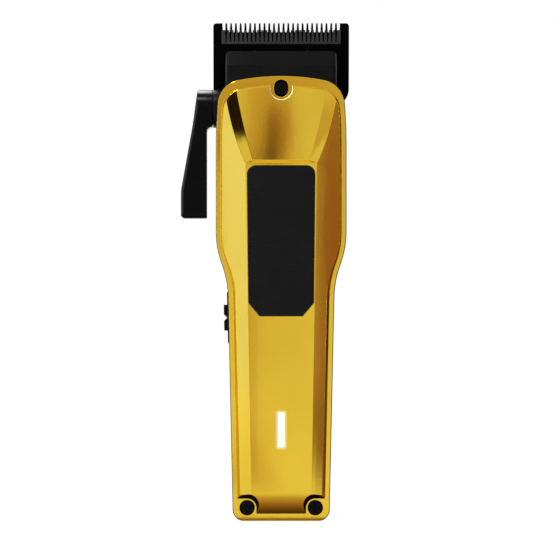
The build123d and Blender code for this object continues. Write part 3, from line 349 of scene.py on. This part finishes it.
def new_finish(name, values):
    """A material with one shader, and the values that are the same all over it."""
    material = bpy.data.materials.new(name)
    material.use_nodes = True
    shader = material.node_tree.nodes["Principled BSDF"]
    for socket, value in values.items():
        shader.inputs[socket].default_value = value
    return material, material.node_tree, shader


def surfaced(tree, shader, colour, rough, normal):
    """Join what changes over a surface to its shader."""
    for socket, value in (("Base Color", colour), ("Roughness", rough), ("Normal", normal)):
        tree.links.new(value, shader.inputs[socket])


def finish_of(make):
    """A finish that is made once and shared."""
    name = plain_name(make)
    return bpy.data.materials.get(name) or make(name)


def slot_fade(tree, half_width, half_height, reach):
    """1 inside a slot in the middle of the window, fading to 0 with the distance from it."""
    low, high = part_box("light_window")
    place = add(tree, "ShaderNodeTexCoord").outputs["Object"]
    axes = add(tree, "ShaderNodeSeparateXYZ", {0: place}).outputs
    past = []
    for axis, middle, half in (
        ("X", (low.x + high.x) / 2, half_width),
        ("Z", (low.z + high.z) / 2, half_height),
    ):
        off = worked(tree, "SUBTRACT", axes[axis], middle)
        beyond = worked(tree, "SUBTRACT", worked(tree, "ABSOLUTE", off), half)
        past.append(worked(tree, "MAXIMUM", beyond, 0.0))
    apart = add(tree, "ShaderNodeCombineXYZ", {"X": past[0], "Y": past[1]}).outputs[0]
    distance = add(tree, "ShaderNodeVectorMath", {0: apart}, operation="LENGTH").outputs["Value"]
    return faded(tree, distance, reach, 0.0)


def gold_plating(name):
    """Polished gold plating under a clear coat, with a trace of orange peel and a painted glow
    round the window.
    """
    look = bpy.context.scene.clipper_finish
    values = {
        "Metallic": 1.0, "Coat Weight": 0.2, "Coat Roughness": 0.06, "Emission Strength": look.glow,
    }
    material, tree, shader = new_finish(name, values)
    grain = placed(tree, moulded_grain, {"Grain": 900.0, "Patch": 45.0})
    edges = placed(tree, soft_edges, {"Radius": 0.00025})
    colour = mixed(tree, grain["Tone"], look.gold_deep, look.gold)
    middle = look.gold_rough
    rough = ranged(tree, grain["Tone"], middle + GOLD_SPREAD, middle - GOLD_SPREAD)
    normal = bumped(tree, grain["Height"], edges["Normal"], strength=0.02, distance=0.0002)
    # Painted glow: emission on the plating, fading with the distance from the window's slot.
    painted_spill = slot_fade(tree, look.painted_glow_half_width, look.painted_glow_half_height, look.glow_reach)
    glow = mixed(tree, painted_spill, (0.0, 0.0, 0.0), look.glow_tint)
    tree.links.new(glow, shader.inputs["Emission Color"])
    surfaced(tree, shader, colour, rough, normal)
    return material


def scaled(colour, factor):
    """A colour made brighter or darker."""
    return [min(1.0, channel * factor) for channel in colour]


def moulding(name, colour, rough, gloss, grain=2500.0, depth=0.05, painted_edge_lift=2.0, edge=0.0003):
    """Moulded plastic or rubber, with a fine grain, a slow change of tone and paler edges, a
    painted highlight.
    """
    material, tree, shader = new_finish(name, {"Specular IOR Level": gloss})
    texture = placed(tree, moulded_grain, {"Grain": grain, "Patch": 80.0})
    edges = placed(tree, soft_edges, {"Radius": edge})
    tone = mixed(tree, texture["Tone"], colour, scaled(colour, PALE_PATCH))
    # Paler at the edges: a painted highlight, laid on by the edge mask.
    painted_edge_sheen = mixed(tree, edges["Edge"], tone, scaled(colour, painted_edge_lift))
    roughness = ranged(tree, texture["Tone"], rough - MOULD_SPREAD, rough + MOULD_SPREAD)
    normal = bumped(tree, texture["Height"], edges["Normal"], strength=depth, distance=0.0002)
    surfaced(tree, shader, painted_edge_sheen, roughness, normal)
    return material


def ground_metal(name, colour, rough, stretch, metallic=1.0, gloss=0.5, depth=0.04):
    """Ground or drawn metal, with fine lines and brighter edges, a painted highlight."""
    material, tree, shader = new_finish(name, {"Metallic": metallic, "Specular IOR Level": gloss})
    lines = placed(tree, ground_lines, {"Stretch": stretch})
    edges = placed(tree, soft_edges, {"Radius": 0.00012})
    tone = mixed(tree, lines["Tone"], scaled(colour, DEEP_LINE), colour)
    # Brighter at the edges: a painted highlight.
    shade = mixed(tree, edges["Edge"], tone, scaled(colour, PAINTED_EDGE_HIGHLIGHT))
    roughness = ranged(tree, lines["Tone"], rough - METAL_SPREAD, rough + METAL_SPREAD)
    normal = bumped(tree, lines["Height"], edges["Normal"], strength=depth, distance=0.0001)
    surfaced(tree, shader, shade, roughness, normal)
    return material


def lit_lens(name):
    """Milky lens, lit from behind, a shade dimmer at its rim."""
    look = bpy.context.scene.clipper_finish
    material, tree, shader = new_finish(name, {"Roughness": 0.35, "Emission Strength": 1.0})
    texture = placed(tree, moulded_grain, {"Grain": 1200.0, "Patch": 150.0})
    core = slot_fade(tree, look.core_half_width, look.core_half_height, look.core_fade)
    glow = mixed(tree, core, look.light_rim, look.light)
    body = mixed(tree, texture["Tone"], (0.28, 0.27, 0.22), (0.33, 0.32, 0.27))
    tree.links.new(body, shader.inputs["Base Color"])
    tree.links.new(glow, shader.inputs["Emission Color"])
    return material


# Shapes


def merged_copy(node):
    """A solid's surface with its loose triangles joined and its flat areas made whole."""
    shape = bmesh.new()
    shape.from_mesh(frame["nodes"][node].data)
    bmesh.ops.remove_doubles(shape, verts=shape.verts, dist=WELD_GAP)
    bmesh.ops.dissolve_limit(shape, angle_limit=FLAT_ANGLE, verts=shape.verts, edges=shape.edges)
    return shape


def cut(shape, faces, place, across):
    """Cut faces along a plane through a place."""
    edges = dict.fromkeys(edge for face in faces for edge in face.edges)
    verts = dict.fromkeys(vert for face in faces for vert in face.verts)
    bmesh.ops.bisect_plane(
        shape, geom=[*verts, *edges, *faces], dist=WELD_GAP, plane_co=place, plane_no=across,
    )


def sharp_edges(shape, angle):
    """Edges that turn by more than an angle."""
    return [edge for edge in shape.edges if edge.is_manifold and edge.calc_face_angle() > angle]


def rounded(shape, width, angle=math.radians(30), segments=3, keeps=None):
    """Round the edges that turn by more than an angle, apart from those that keep their edge."""
    edges = [edge for edge in sharp_edges(shape, angle) if not (keeps and keeps(edge))]
    bmesh.ops.bevel(
        shape, geom=edges, offset=width, offset_type="OFFSET", affect="EDGES",
        segments=segments, profile=0.5, material=-1,
    )


def corner_numbers(face):
    return [vert.index for vert in face.verts]


def in_order(shape):
    """Put the faces in the order of their corners, which is the same in every run."""
    shape.verts.index_update()
    ranks = {face: rank for rank, face in enumerate(sorted(shape.faces, key=corner_numbers))}
    shape.faces.sort(key=ranks.get)


def shown(name, data):
    """A new object in the scene."""
    made = bpy.data.objects.new(name, data)
    bpy.context.scene.collection.objects.link(made)
    return made


def finished(name, shape, nodes, slot, *materials, crease=math.radians(35)):
    """Make a piece of a shape: it rides where its solids ride, and stands for them."""
    for face in shape.faces:
        face.smooth = True
    for edge in shape.edges:
        edge.smooth = not edge.is_manifold or edge.calc_face_angle() < crease
    in_order(shape)
    mesh = bpy.data.meshes.new(name)
    shape.to_mesh(mesh)
    shape.free()
    for attribute in ("custom_normal", "sharp_face"):
        if attribute in mesh.attributes:
            mesh.attributes.remove(mesh.attributes[attribute])
    for material in materials:
        mesh.materials.append(material)
    piece = shown(name, mesh)
    weighted = piece.modifiers.new("Even shading", "WEIGHTED_NORMAL")
    weighted.keep_sharp = True
    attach(piece, frame["nodes"][nodes[0]]["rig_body"])
    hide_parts(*nodes)
    return piece


def coated(node, material):
    """Give a solid that keeps its own mesh a finish."""
    solid = frame["nodes"][node]
    solid.data.materials.clear()
    solid.data.materials.append(material)


# Pieces


def screw_spots():
    """Middle and head radius of each lid screw."""
    shape = merged_copy("lid_screws")
    spots = []
    for face in shape.faces:
        if face.normal.y < -SQUARE_ON and face.calc_area() > HEAD_AREA:
            xs = [vert.co.x for vert in face.verts]
            spots.append((face.calc_center_median(), (max(xs) - min(xs)) / 2))
    shape.free()
    return spots


# A pale, dull coat that paints the highlight on the lip round the top screw.
def cut_gold(name):
    gold = bpy.context.scene.clipper_finish.painted_lip_colour
    return moulding(name, gold, rough=0.4, gloss=0.5, grain=900.0, painted_edge_lift=1.0)


# Dull black that stands in for shade: painted shade in the lid's screw pockets and foot notches.
def painted_shade_black(name):
    return moulding(name, (0.002, 0.002, 0.002), rough=0.6, gloss=0.03)


def paint_lip_highlight_and_notch_shade(shape, spots, sizes):
    """Paint a highlight on the lip of the panel's notch, and shade into the depth of the foot
    notches.
    """
    *foot, top = sorted(spots, key=height_of)
    for face in shape.faces:
        # The lip round the top screw gets a painted highlight.
        if wall_near(face, top, sizes.lip_reach):
            face.material_index = PAINTED_HIGHLIGHT
    # The depth of each foot notch gets painted shade.
    for spot in foot:
        level = spot - Vector((0, sizes.notch_shade_floor, 0))
        walls = [face for face in shape.faces if wall_near(face, spot, sizes.notch_reach)]
        cut(shape, walls, level, (0, 1, 0))
        for face in shape.faces:
            if wall_near(face, spot, sizes.notch_reach) and face.calc_center_median().y > level.y:
                face.material_index = PAINTED_SHADE


def height_of(point):
    return point.z


def wall_near(face, spot, reach):
    """Whether a face is a drafted wall in front of a screw's head, within reach of it."""
    off = face.calc_center_median() - spot
    leans = WALL_LEAN[0] < face.normal.y < WALL_LEAN[1]
    return off.length < reach and off.y < -POCKET_ROOM and leans


class CLIPPER_OT_lid(bpy.types.Operator):
    """Gold faceted lid"""

    bl_idname = "clipper.lid"
    bl_label = "Gold lid"

    def execute(self, context):
        shape = merged_copy("front_lid")
        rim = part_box("lid_screws")[0].y
        spots = screw_spots()
        # The screw pockets get painted shade.
        for spot, radius in spots:
            for face in shape.faces:
                middle = face.calc_center_median()
                off = middle - spot
                inside = abs(off.x) < radius + POCKET_ROOM and abs(off.z) < radius + SLOT_ROOM
                if inside and middle.y > rim - POCKET_ROOM and face.normal.y < BACKWARD:
                    face.material_index = PAINTED_SHADE
        paint_lip_highlight_and_notch_shade(shape, [spot for spot, radius in spots], context.scene.clipper_sizes)
        coats = [finish_of(make) for make in (gold_plating, painted_shade_black, cut_gold)]
        finished("gold_lid", shape, ["front_lid"], "gold_shell", *coats, crease=LID_CREASE)
        return {"FINISHED"}


def housing_plastic(name):
    black = bpy.context.scene.clipper_finish.housing
    return moulding(name, black, rough=0.26, gloss=0.06)


class CLIPPER_OT_housing(bpy.types.Operator):
    """Black back housing with its charging inlet"""

    bl_idname = "clipper.housing"
    bl_label = "Back housing"

    def execute(self, context):
        shape = merged_copy("back_housing")
        finished("rear_shell", shape, ["back_housing"], "housing_black", finish_of(housing_plastic))
        return {"FINISHED"}


def satin_black(name):
    black = bpy.context.scene.clipper_finish.cover
    return moulding(name, black, rough=0.45, gloss=0.032)


class CLIPPER_OT_cover(bpy.types.Operator):
    """Black nose between the lid and the blades"""

    bl_idname = "clipper.cover"
    bl_label = "Blade cover"

    def execute(self, context):
        shape = merged_copy("blade_cover")
        rounded(shape, context.scene.clipper_sizes.fine_round)
        finished("nose_cover", shape, ["blade_cover"], "cover_black", finish_of(satin_black))
        return {"FINISHED"}


def smooth_black(name):
    black = bpy.context.scene.clipper_finish.lever
    return moulding(name, black, rough=0.16, gloss=0.055, depth=0.02)


class CLIPPER_OT_lever(bpy.types.Operator):
    """Taper lever"""

    bl_idname = "clipper.lever"
    bl_label = "Taper lever"

    def execute(self, context):
        sizes = context.scene.clipper_sizes
        shape = merged_copy("taper_lever")
        low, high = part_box("taper_lever")
        hub_face = [vert for vert in shape.verts if vert.co.x > high.x - WELD_GAP]

        def at_bend_or_hub(edge):
            for vert in edge.verts:
                outside = vert.co.x < low.x + sizes.lever_bend_room
                if outside and abs(vert.co.z - low.z - sizes.lever_bend) < sizes.lever_bend_room:
                    return True
            return all(vert.co.x > high.x - WELD_GAP for vert in edge.verts)

        rounded(shape, sizes.edge_round, keeps=at_bend_or_hub)
        hub_face = [vert for vert in hub_face if vert.is_valid]
        bmesh.ops.translate(shape, verts=hub_face, vec=(sizes.hub_reach, 0, 0))
        finished("side_lever", shape, ["taper_lever"], "lever_black", finish_of(smooth_black))
        return {"FINISHED"}


def ribbed_rubber(name):
    black = bpy.context.scene.clipper_finish.rubber
    return moulding(name, black, rough=0.5, gloss=0.07, grain=4000.0, depth=0.1)


class CLIPPER_OT_pad(bpy.types.Operator):
    """Ribbed grip pad"""

    bl_idname = "clipper.pad"
    bl_label = "Grip pad"

    def execute(self, context):
        sizes = context.scene.clipper_sizes
        shape = merged_copy("grip_pad")
        low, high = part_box("grip_pad")
        count = int((high.z - low.z) / sizes.rib_pitch) - 1
        first = (low.z + high.z - count * sizes.rib_pitch) / 2
        for step in range(count * RIB_STEPS + 1):
            height = first + step * sizes.rib_pitch / RIB_STEPS
            cut(shape, shape.faces[:], (0, 0, height), (0, 0, 1))
        last = first + count * sizes.rib_pitch
        front = low.y + (high.y - low.y) / 2
        for vert in shape.verts:
            if vert.co.y < front and first <= vert.co.z <= last:
                turn = 2 * math.pi * (vert.co.z - first) / sizes.rib_pitch
                vert.co.y += sizes.rib_depth * (1 - math.cos(turn)) / 2
        rubber = finish_of(ribbed_rubber)
        finished("ribbed_pad", shape, ["grip_pad"], "grip_rubber", rubber, crease=PAD_CREASE)
        return {"FINISHED"}


class CLIPPER_OT_window(bpy.types.Operator):
    """Lit window low on the lid"""

    bl_idname = "clipper.window"
    bl_label = "Light window"

    def execute(self, context):
        shape = merged_copy("light_window")
        rounded(shape, context.scene.clipper_sizes.edge_round)
        finished("lit_window", shape, ["light_window"], "light_lens", finish_of(lit_lens))
        return {"FINISHED"}


def blade_black(name):
    black, stretch = (0.0006, 0.0006, 0.0006), (300.0, 9000.0, 9000.0)
    return ground_metal(name, black, rough=0.4, stretch=stretch, metallic=0.0, gloss=0.015)


def cutter_grey(name):
    stretch = (9000.0, 9000.0, 300.0)
    return ground_metal(name, (0.044, 0.044, 0.046), rough=0.34, stretch=stretch)


class CLIPPER_OT_blades(bpy.types.Operator):
    """Toothed blade pair"""

    bl_idname = "clipper.blades"
    bl_label = "Blades"

    def execute(self, context):
        sizes = context.scene.clipper_sizes
        still = merged_copy("still_blade")
        rounded(still, sizes.tooth_round, segments=2)
        black = finish_of(blade_black)
        finished("comb_blade", still, ["still_blade"], "blade_steel", black)
        cutter = merged_copy("cutter_blade")
        seat = [mount for mount in frame["record"]["mounts"] if mount["name"] == "guard_seat"][0]
        upward = Vector(seat["axis"])
        land_end = Vector(seat["pos_m"]) - upward * sizes.land_depth
        cut(cutter, cutter.faces[:], land_end, upward)
        for face in cutter.faces:
            face.material_index = (face.calc_center_median() - land_end).dot(upward) < 0
        grey = finish_of(cutter_grey)
        finished("moving_blade", cutter, ["cutter_blade"], "cutter_steel", grey, black)
        return {"FINISHED"}


class CLIPPER_OT_switch(bpy.types.Operator):
    """Slide switch on the left edge"""

    bl_idname = "clipper.switch"
    bl_label = "Slide switch"

    def execute(self, context):
        sizes = context.scene.clipper_sizes
        for name, node, slot, make in (
            ("switch_surround", "switch_bezel", "cover_black", satin_black),
            ("switch_thumb", "switch_slider", "lever_black", smooth_black),
        ):
            shape = merged_copy(node)
            rounded(shape, sizes.edge_round)
            finished(name, shape, [node], slot, finish_of(make))
        return {"FINISHED"}


def black_screw(name):
    black, stretch = (0.0025, 0.0025, 0.0026), (2500.0, 2500.0, 2500.0)
    return ground_metal(name, black, rough=0.32, stretch=stretch, metallic=0.0, gloss=0.06)


def cross_recess(shape, head, sideways, sizes):
    """Sink a cross into the flat face of a screw's head."""
    out = head.normal.copy()
    middle = head.calc_center_median()
    arms = (sideways, out.cross(sideways))

    def flat_faces():
        flat = []
        for face in shape.faces:
            off = face.calc_center_median() - middle
            level = face.normal.dot(out) > SQUARE_ON and abs(off.dot(out)) < WELD_GAP
            if level and off.length < sizes.cross_span:
                flat.append(face)
        return flat

    for arm in arms:
        for step in (-sizes.cross_span, -sizes.cross_width, sizes.cross_width, sizes.cross_span):
            cut(shape, flat_faces(), middle + arm * step / 2, arm)
    sunk = []
    for face in flat_faces():
        off = face.calc_center_median() - middle
        wide, high = sorted(abs(off.dot(arm)) for arm in arms)
        if wide < sizes.cross_width / 2 and high < sizes.cross_span / 2:
            sunk.append(face)
    bmesh.ops.inset_region(
        shape, faces=sunk, thickness=sizes.cross_draft, depth=-sizes.cross_depth,
    )


def crossed_screws(node, name, outward, sideways):
    """Screws of a node, with a cross in the outer face of each head."""
    sizes = bpy.context.scene.clipper_sizes
    shape = merged_copy(node)
    rounded(shape, sizes.tooth_round, segments=2)
    heads = [
        face for face in shape.faces
        if face.calc_area() > HEAD_AREA and face.normal.dot(outward) > FACING
    ]
    for head in heads:
        cross_recess(shape, head, sideways, sizes)
    finished(name, shape, [node], "screw_black", finish_of(black_screw))


class CLIPPER_OT_screws(bpy.types.Operator):
    """Black screws with cross recesses"""

    bl_idname = "clipper.screws"
    bl_label = "Screws"

    def execute(self, context):
        left, back = Vector((-1, 0, 0)), Vector((0, 1, 0))
        crossed_screws("lid_screws", "cross_screws", -back, left)
        crossed_screws("blade_screws", "sunk_screws", back, left)
        crossed_screws("lever_screw", "pivot_screw", left, back)
        return {"FINISHED"}


def bright_steel(name):
    return ground_metal(name, (0.55, 0.55, 0.56), rough=0.28, stretch=(3000.0, 3000.0, 3000.0))


def spring_steel(name):
    return ground_metal(name, (0.05, 0.05, 0.052), rough=0.35, stretch=(3000.0, 3000.0, 3000.0))


def ferrite(name):
    return moulding(name, (0.03, 0.03, 0.032), rough=0.6, gloss=0.4)


def bronze(name):
    return ground_metal(name, (0.5, 0.24, 0.09), rough=0.35, stretch=(4000.0, 4000.0, 4000.0))


def acetal(name):
    return moulding(name, (0.75, 0.74, 0.7), rough=0.4, gloss=0.5, painted_edge_lift=1.1)


def wire_red(name):
    return moulding(name, (0.35, 0.02, 0.015), rough=0.45, gloss=0.4)


def board_green(name):
    return moulding(name, (0.02, 0.12, 0.045), rough=0.4, gloss=0.5, grain=1200.0)


def lamp_body(name):
    return moulding(name, (0.85, 0.84, 0.78), rough=0.3, gloss=0.5, painted_edge_lift=1.1)


def cell_wrap(name):
    return moulding(name, (0.03, 0.12, 0.3), rough=0.35, gloss=0.5, grain=400.0)


def nickel(name):
    return ground_metal(name, (0.62, 0.59, 0.53), rough=0.3, stretch=(2000.0, 2000.0, 2000.0))


def frame_plastic(name):
    return moulding(name, (0.025, 0.025, 0.027), rough=0.5, gloss=0.4)


INNER_FINISHES = {
    frame_plastic: ("drive_frame", "power_switch", "switch_toggle", "motor_end_cap"),
    bright_steel: (
        "frame_screws", "board_screws", "motor_screws", "motor_shaft", "motor_can",
        "eccentric_cam", "lever_shaft",
    ),
    spring_steel: ("tension_spring",),
    ferrite: ("motor_magnets", "armature"),
    bronze: ("motor_bush", "lever_bush", "commutator", "motor_terminals"),
    acetal: ("cam_roller", "cam_follower", "blade_carriage"),
    wire_red: ("motor_leads", "battery_leads"),
    board_green: ("circuit_board",),
    lamp_body: ("indicator_led",),
    cell_wrap: ("battery_cell",),
    nickel: ("battery_tabs", "charge_socket"),
}


class CLIPPER_OT_works(bpy.types.Operator):
    """Finishes of the works inside"""

    bl_idname = "clipper.works"
    bl_label = "Works inside"

    def execute(self, context):
        for make, nodes in INNER_FINISHES.items():
            for node in nodes:
                coated(node, finish_of(make))
        return {"FINISHED"}


# Studio


def white_world(fill):
    """White for the camera and in reflections, and a softer light on the surfaces."""
    world = bpy.data.worlds.new("White studio")
    tree = bare_tree(world)
    light = add(tree, "ShaderNodeBackground", {"Color": WHITE, "Strength": fill})
    white = add(tree, "ShaderNodeBackground", {"Color": WHITE, "Strength": 1.0})
    both = blended(tree, ray_seen(tree), light, white)
    add(tree, "ShaderNodeOutputWorld", {"Surface": both})
    bpy.context.scene.world = world


def ray_seen(tree):
    """1 for what the camera sees, straight or in metal or glass, and 0 for light on a surface."""
    path = add(tree, "ShaderNodeLightPath").outputs
    mirrored = worked(tree, "MAXIMUM", path["Is Camera Ray"], path["Is Glossy Ray"])
    return worked(tree, "MAXIMUM", mirrored, path["Is Transmission Ray"])


# Standing cards: name, direction across and up and spread across and up in degrees, distance,
# colour, and the share of the card over which its edges fade
CARDS = (
    ("upper_shade", -1.6, 4.5, 9.6, 10, 6.2, (0.77, 0.60, 0.50), 0.3),
    ("warm_shade", 0.6, 11.2, 9.4, 6.2, 0.321, (0.44, 0.22, 0.16), 0.5),
    ("dark_streak", -0.8, 11.0, 5.4, 6.0, 0.320, (0.20, 0.06, 0.05), 0.5),
    ("low_streak", -1.2, 9.1, 8.4, 3.4, 0.319, (0.05, 0.01, 0.005), 0.5),
    ("left_shade", -6.5, -3, 8, 10, 1.3, (0.79, 0.63, 0.52), 0.3),
    ("left_softbox", -29, -1, 20, 22, 1.3, (1.2, 1.35, 2.8), 0.25),
    ("left_far", -54, -2, 28, 24, 1.3, (1.1, 1.1, 1.1), 0.3),
    ("left_high", -48, 17, 60, 16, 1.3, (0.80, 0.66, 0.55), 0.3),
    ("right_warm", 38, -1, 49, 24, 1.32, (0.42, 0.20, 0.20), 0.37),
    ("right_dark", 58, -1, 44, 24, 1.28, (0.08, 0.04, 0.04), 0.25),
    ("right_high", 27, 17.5, 46, 27, 1.24, (0.02, 0.012, 0.01), 0.25),
    ("left_strip", -92, 5, 16, 60, 1.3, (5.0, 5.0, 5.0), 0.3),
    ("top_strip", 0, 49, 60, 7, 1.3, (1.8, 1.9, 2.6), 0.4),
    ("back_left", -118, 8, 24, 70, 1.3, (9.0, 9.0, 9.0), 0.4),
    ("back_right", 118, 8, 24, 70, 1.3, (9.0, 9.0, 9.0), 0.4),
    ("back_high", 180, 34, 60, 24, 1.3, (5.0, 5.0, 5.0), 0.45),
)
# Cards near the lever's hub, in the same columns, seen from there
HUB_CARDS = (
    ("hub_strip", -5, 57, 16, 26, 0.055, (46.0, 46.0, 46.0), 0.45),
    ("hub_top", 180, 66, 18, 46, 0.05, (30.0, 30.0, 30.0), 0.4),
)
# Cards on the floor: name, direction in degrees, where they start and end along it and to its left
# and right, height above the floor, colour and fade
FLOOR_CARDS = (
    ("floor_warm", 0, -0.042, 0.042, -0.1, 0.1, 0.0004, (0.55, 0.32, 0.22), 0.28),
    ("floor_black", 0, -0.024, 0.024, -0.1, 0.1, 0.0006, (0.02, 0.01, 0.008), 0.25),
    ("floor_left", -6.5, 0.15, 1.3, -0.04, 0.04, 0.0002, (0.72, 0.55, 0.43), 0.25),
    ("floor_right", 18, -0.1, 1.35, 0.012, 0.8, 0.0003, (0.30, 0.16, 0.20), 0.1),
)


def pale_floor():
    """White floor that keeps a faint shadow of what stands on it."""
    material = bpy.data.materials.new("Pale floor")
    tree = bare_tree(material)
    white = add(tree, "ShaderNodeEmission", {"Color": WHITE, "Strength": 0.9})
    shaded = add(tree, "ShaderNodeBsdfDiffuse", {"Color": (0.2, 0.2, 0.2, 1)})
    lifted = add(tree, "ShaderNodeAddShader", {0: white.outputs[0], 1: shaded.outputs[0]})
    plain = add(tree, "ShaderNodeBsdfDiffuse", {"Color": (0.8, 0.8, 0.8, 1)})
    both = blended(tree, ray_seen(tree), plain, lifted)
    add(tree, "ShaderNodeOutputMaterial", {"Surface": both})
    return material


def card_paper(name, colour, soft):
    """A card of one colour whose edges fade out."""
    material = bpy.data.materials.new(name)
    tree = bare_tree(material)
    place = add(tree, "ShaderNodeTexCoord").outputs["Object"]
    axes = add(tree, "ShaderNodeSeparateXYZ", {0: place}).outputs
    fades = []
    for axis in (axes["X"], axes["Y"]):
        off = worked(tree, "ABSOLUTE", axis)
        fades.append(faded(tree, off, 0.5, 0.5 - soft))
    cover = worked(tree, "MULTIPLY", *fades)
    clear = add(tree, "ShaderNodeBsdfTransparent")
    paper = add(tree, "ShaderNodeEmission", {"Color": (*colour, 1), "Strength": 1.0})
    both = blended(tree, cover, clear, paper)
    add(tree, "ShaderNodeOutputMaterial", {"Surface": both})
    return material


def flat_square(name, half, material):
    """A flat square round the origin."""
    shape = bmesh.new()
    bmesh.ops.create_grid(shape, x_segments=1, y_segments=1, size=half)
    mesh = bpy.data.meshes.new(name)
    shape.to_mesh(mesh)
    shape.free()
    mesh.materials.append(material)
    return shown(name, mesh)


def card(name, place, colour, soft):
    """A soft-edged card that only reflections show, a unit square put in its place."""
    flag = flat_square(name, 0.5, card_paper(name, colour, soft))
    flag.matrix_world = place
    flag.visible_camera = False
    flag.visible_diffuse = False
    flag.visible_shadow = False
    flag.visible_transmission = False


def standing_card(middle, name, azimuth, elevation, across, high, distance, colour, soft):
    """A card that faces a point of the clipper; its place and size are angles seen from there."""
    side, up = math.radians(azimuth), math.radians(elevation)
    away = Vector((math.sin(side) * math.cos(up), -math.cos(side) * math.cos(up), math.sin(up)))
    turn = away.to_track_quat("Z", "Y").to_matrix().to_4x4()
    width, height = (2 * distance * math.tan(math.radians(angle) / 2) for angle in (across, high))
    stretch = Matrix.Diagonal((width, height, 1, 1))
    card(name, Matrix.Translation(middle + away * distance) @ turn @ stretch, colour, soft)


def floor_card(name, azimuth, near, far, left, right, height, colour, soft):
    """A card that lies on the floor, along a direction from the clipper's base."""
    turn = Matrix.Rotation(math.radians(azimuth), 4, "Z")
    middle = Matrix.Translation(((left + right) / 2, -(near + far) / 2, height))
    stretch = Matrix.Diagonal((right - left, far - near, 1, 1))
    card(name, turn @ middle @ stretch, colour, soft)


class CLIPPER_OT_studio(bpy.types.Operator):
    """Floor, light and camera"""

    bl_idname = "clipper.studio"
    bl_label = "Studio"

    def execute(self, context):
        scene = context.scene
        studio = scene.clipper_studio
        scene.view_settings.view_transform = "Standard"
        white_world(studio.fill)

        floor = flat_square("floor", studio.floor_half, pale_floor())

        middle = (cad_box[0] + cad_box[1]) / 2
        low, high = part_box("taper_lever")
        hub = (low + high) / 2
        hub.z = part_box("lever_screw")[1].z
        for row in CARDS:
            standing_card(middle, *row)
        for row in HUB_CARDS:
            standing_card(hub, *row)
        for row in FLOOR_CARDS:
            floor_card(*row)

        lamp = bpy.data.lights.new("key_lamp", "AREA")
        lamp.energy = studio.key
        lamp.size = studio.key_size
        key = shown("key_lamp", lamp)
        key.location = studio.key_place
        aim = Vector((0, 0, studio.key_aim)) - key.location
        key.rotation_euler = aim.to_track_quat("-Z", "Y").to_euler()
        key.visible_glossy = False

        lens = bpy.data.cameras.new("camera")
        lid_distance = studio.camera_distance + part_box("front_lid")[0].y
        lens.lens = lens.sensor_width * lid_distance / studio.picture_width
        camera = shown("camera", lens)
        camera.location = (studio.aim_x, -studio.camera_distance, studio.aim_z)
        camera.rotation_euler = (math.pi / 2, 0, 0)
        scene.camera = camera
        return {"FINISHED"}


STEPS = (
    CLIPPER_OT_lid, CLIPPER_OT_housing, CLIPPER_OT_cover, CLIPPER_OT_lever, CLIPPER_OT_pad,
    CLIPPER_OT_window, CLIPPER_OT_blades, CLIPPER_OT_switch, CLIPPER_OT_screws, CLIPPER_OT_works,
    CLIPPER_OT_studio,
)


class CLIPPER_PT_looks(bpy.types.Panel):
    """Sizes, finishes and steps of the clipper"""

    bl_label = "Hair Clipper"
    bl_space_type = "VIEW_3D"
    bl_region_type = "UI"
    bl_category = "Clipper"

    def draw(self, context):
        layout = self.layout
        scene = context.scene
        for group in (scene.clipper_sizes, scene.clipper_finish, scene.clipper_studio):
            for name in group.__annotations__:
                layout.prop(group, name)
        for step in STEPS:
            layout.operator(step.bl_idname)


CLASSES = (ClipperSizes, ClipperFinish, ClipperStudio, *STEPS, CLIPPER_PT_looks)


def register():
    for made in CLASSES:
        bpy.utils.register_class(made)
    bpy.types.Scene.clipper_sizes = PointerProperty(type=ClipperSizes)
    bpy.types.Scene.clipper_finish = PointerProperty(type=ClipperFinish)
    bpy.types.Scene.clipper_studio = PointerProperty(type=ClipperStudio)


def unregister():
    del bpy.types.Scene.clipper_sizes
    del bpy.types.Scene.clipper_finish
    del bpy.types.Scene.clipper_studio
    for made in reversed(CLASSES):
        bpy.utils.unregister_class(made)


def main():
    register()
    for step in STEPS:
        group, name = step.bl_idname.split(".")
        getattr(getattr(bpy.ops, group), name)()


if __name__ == "__main__":
    main()
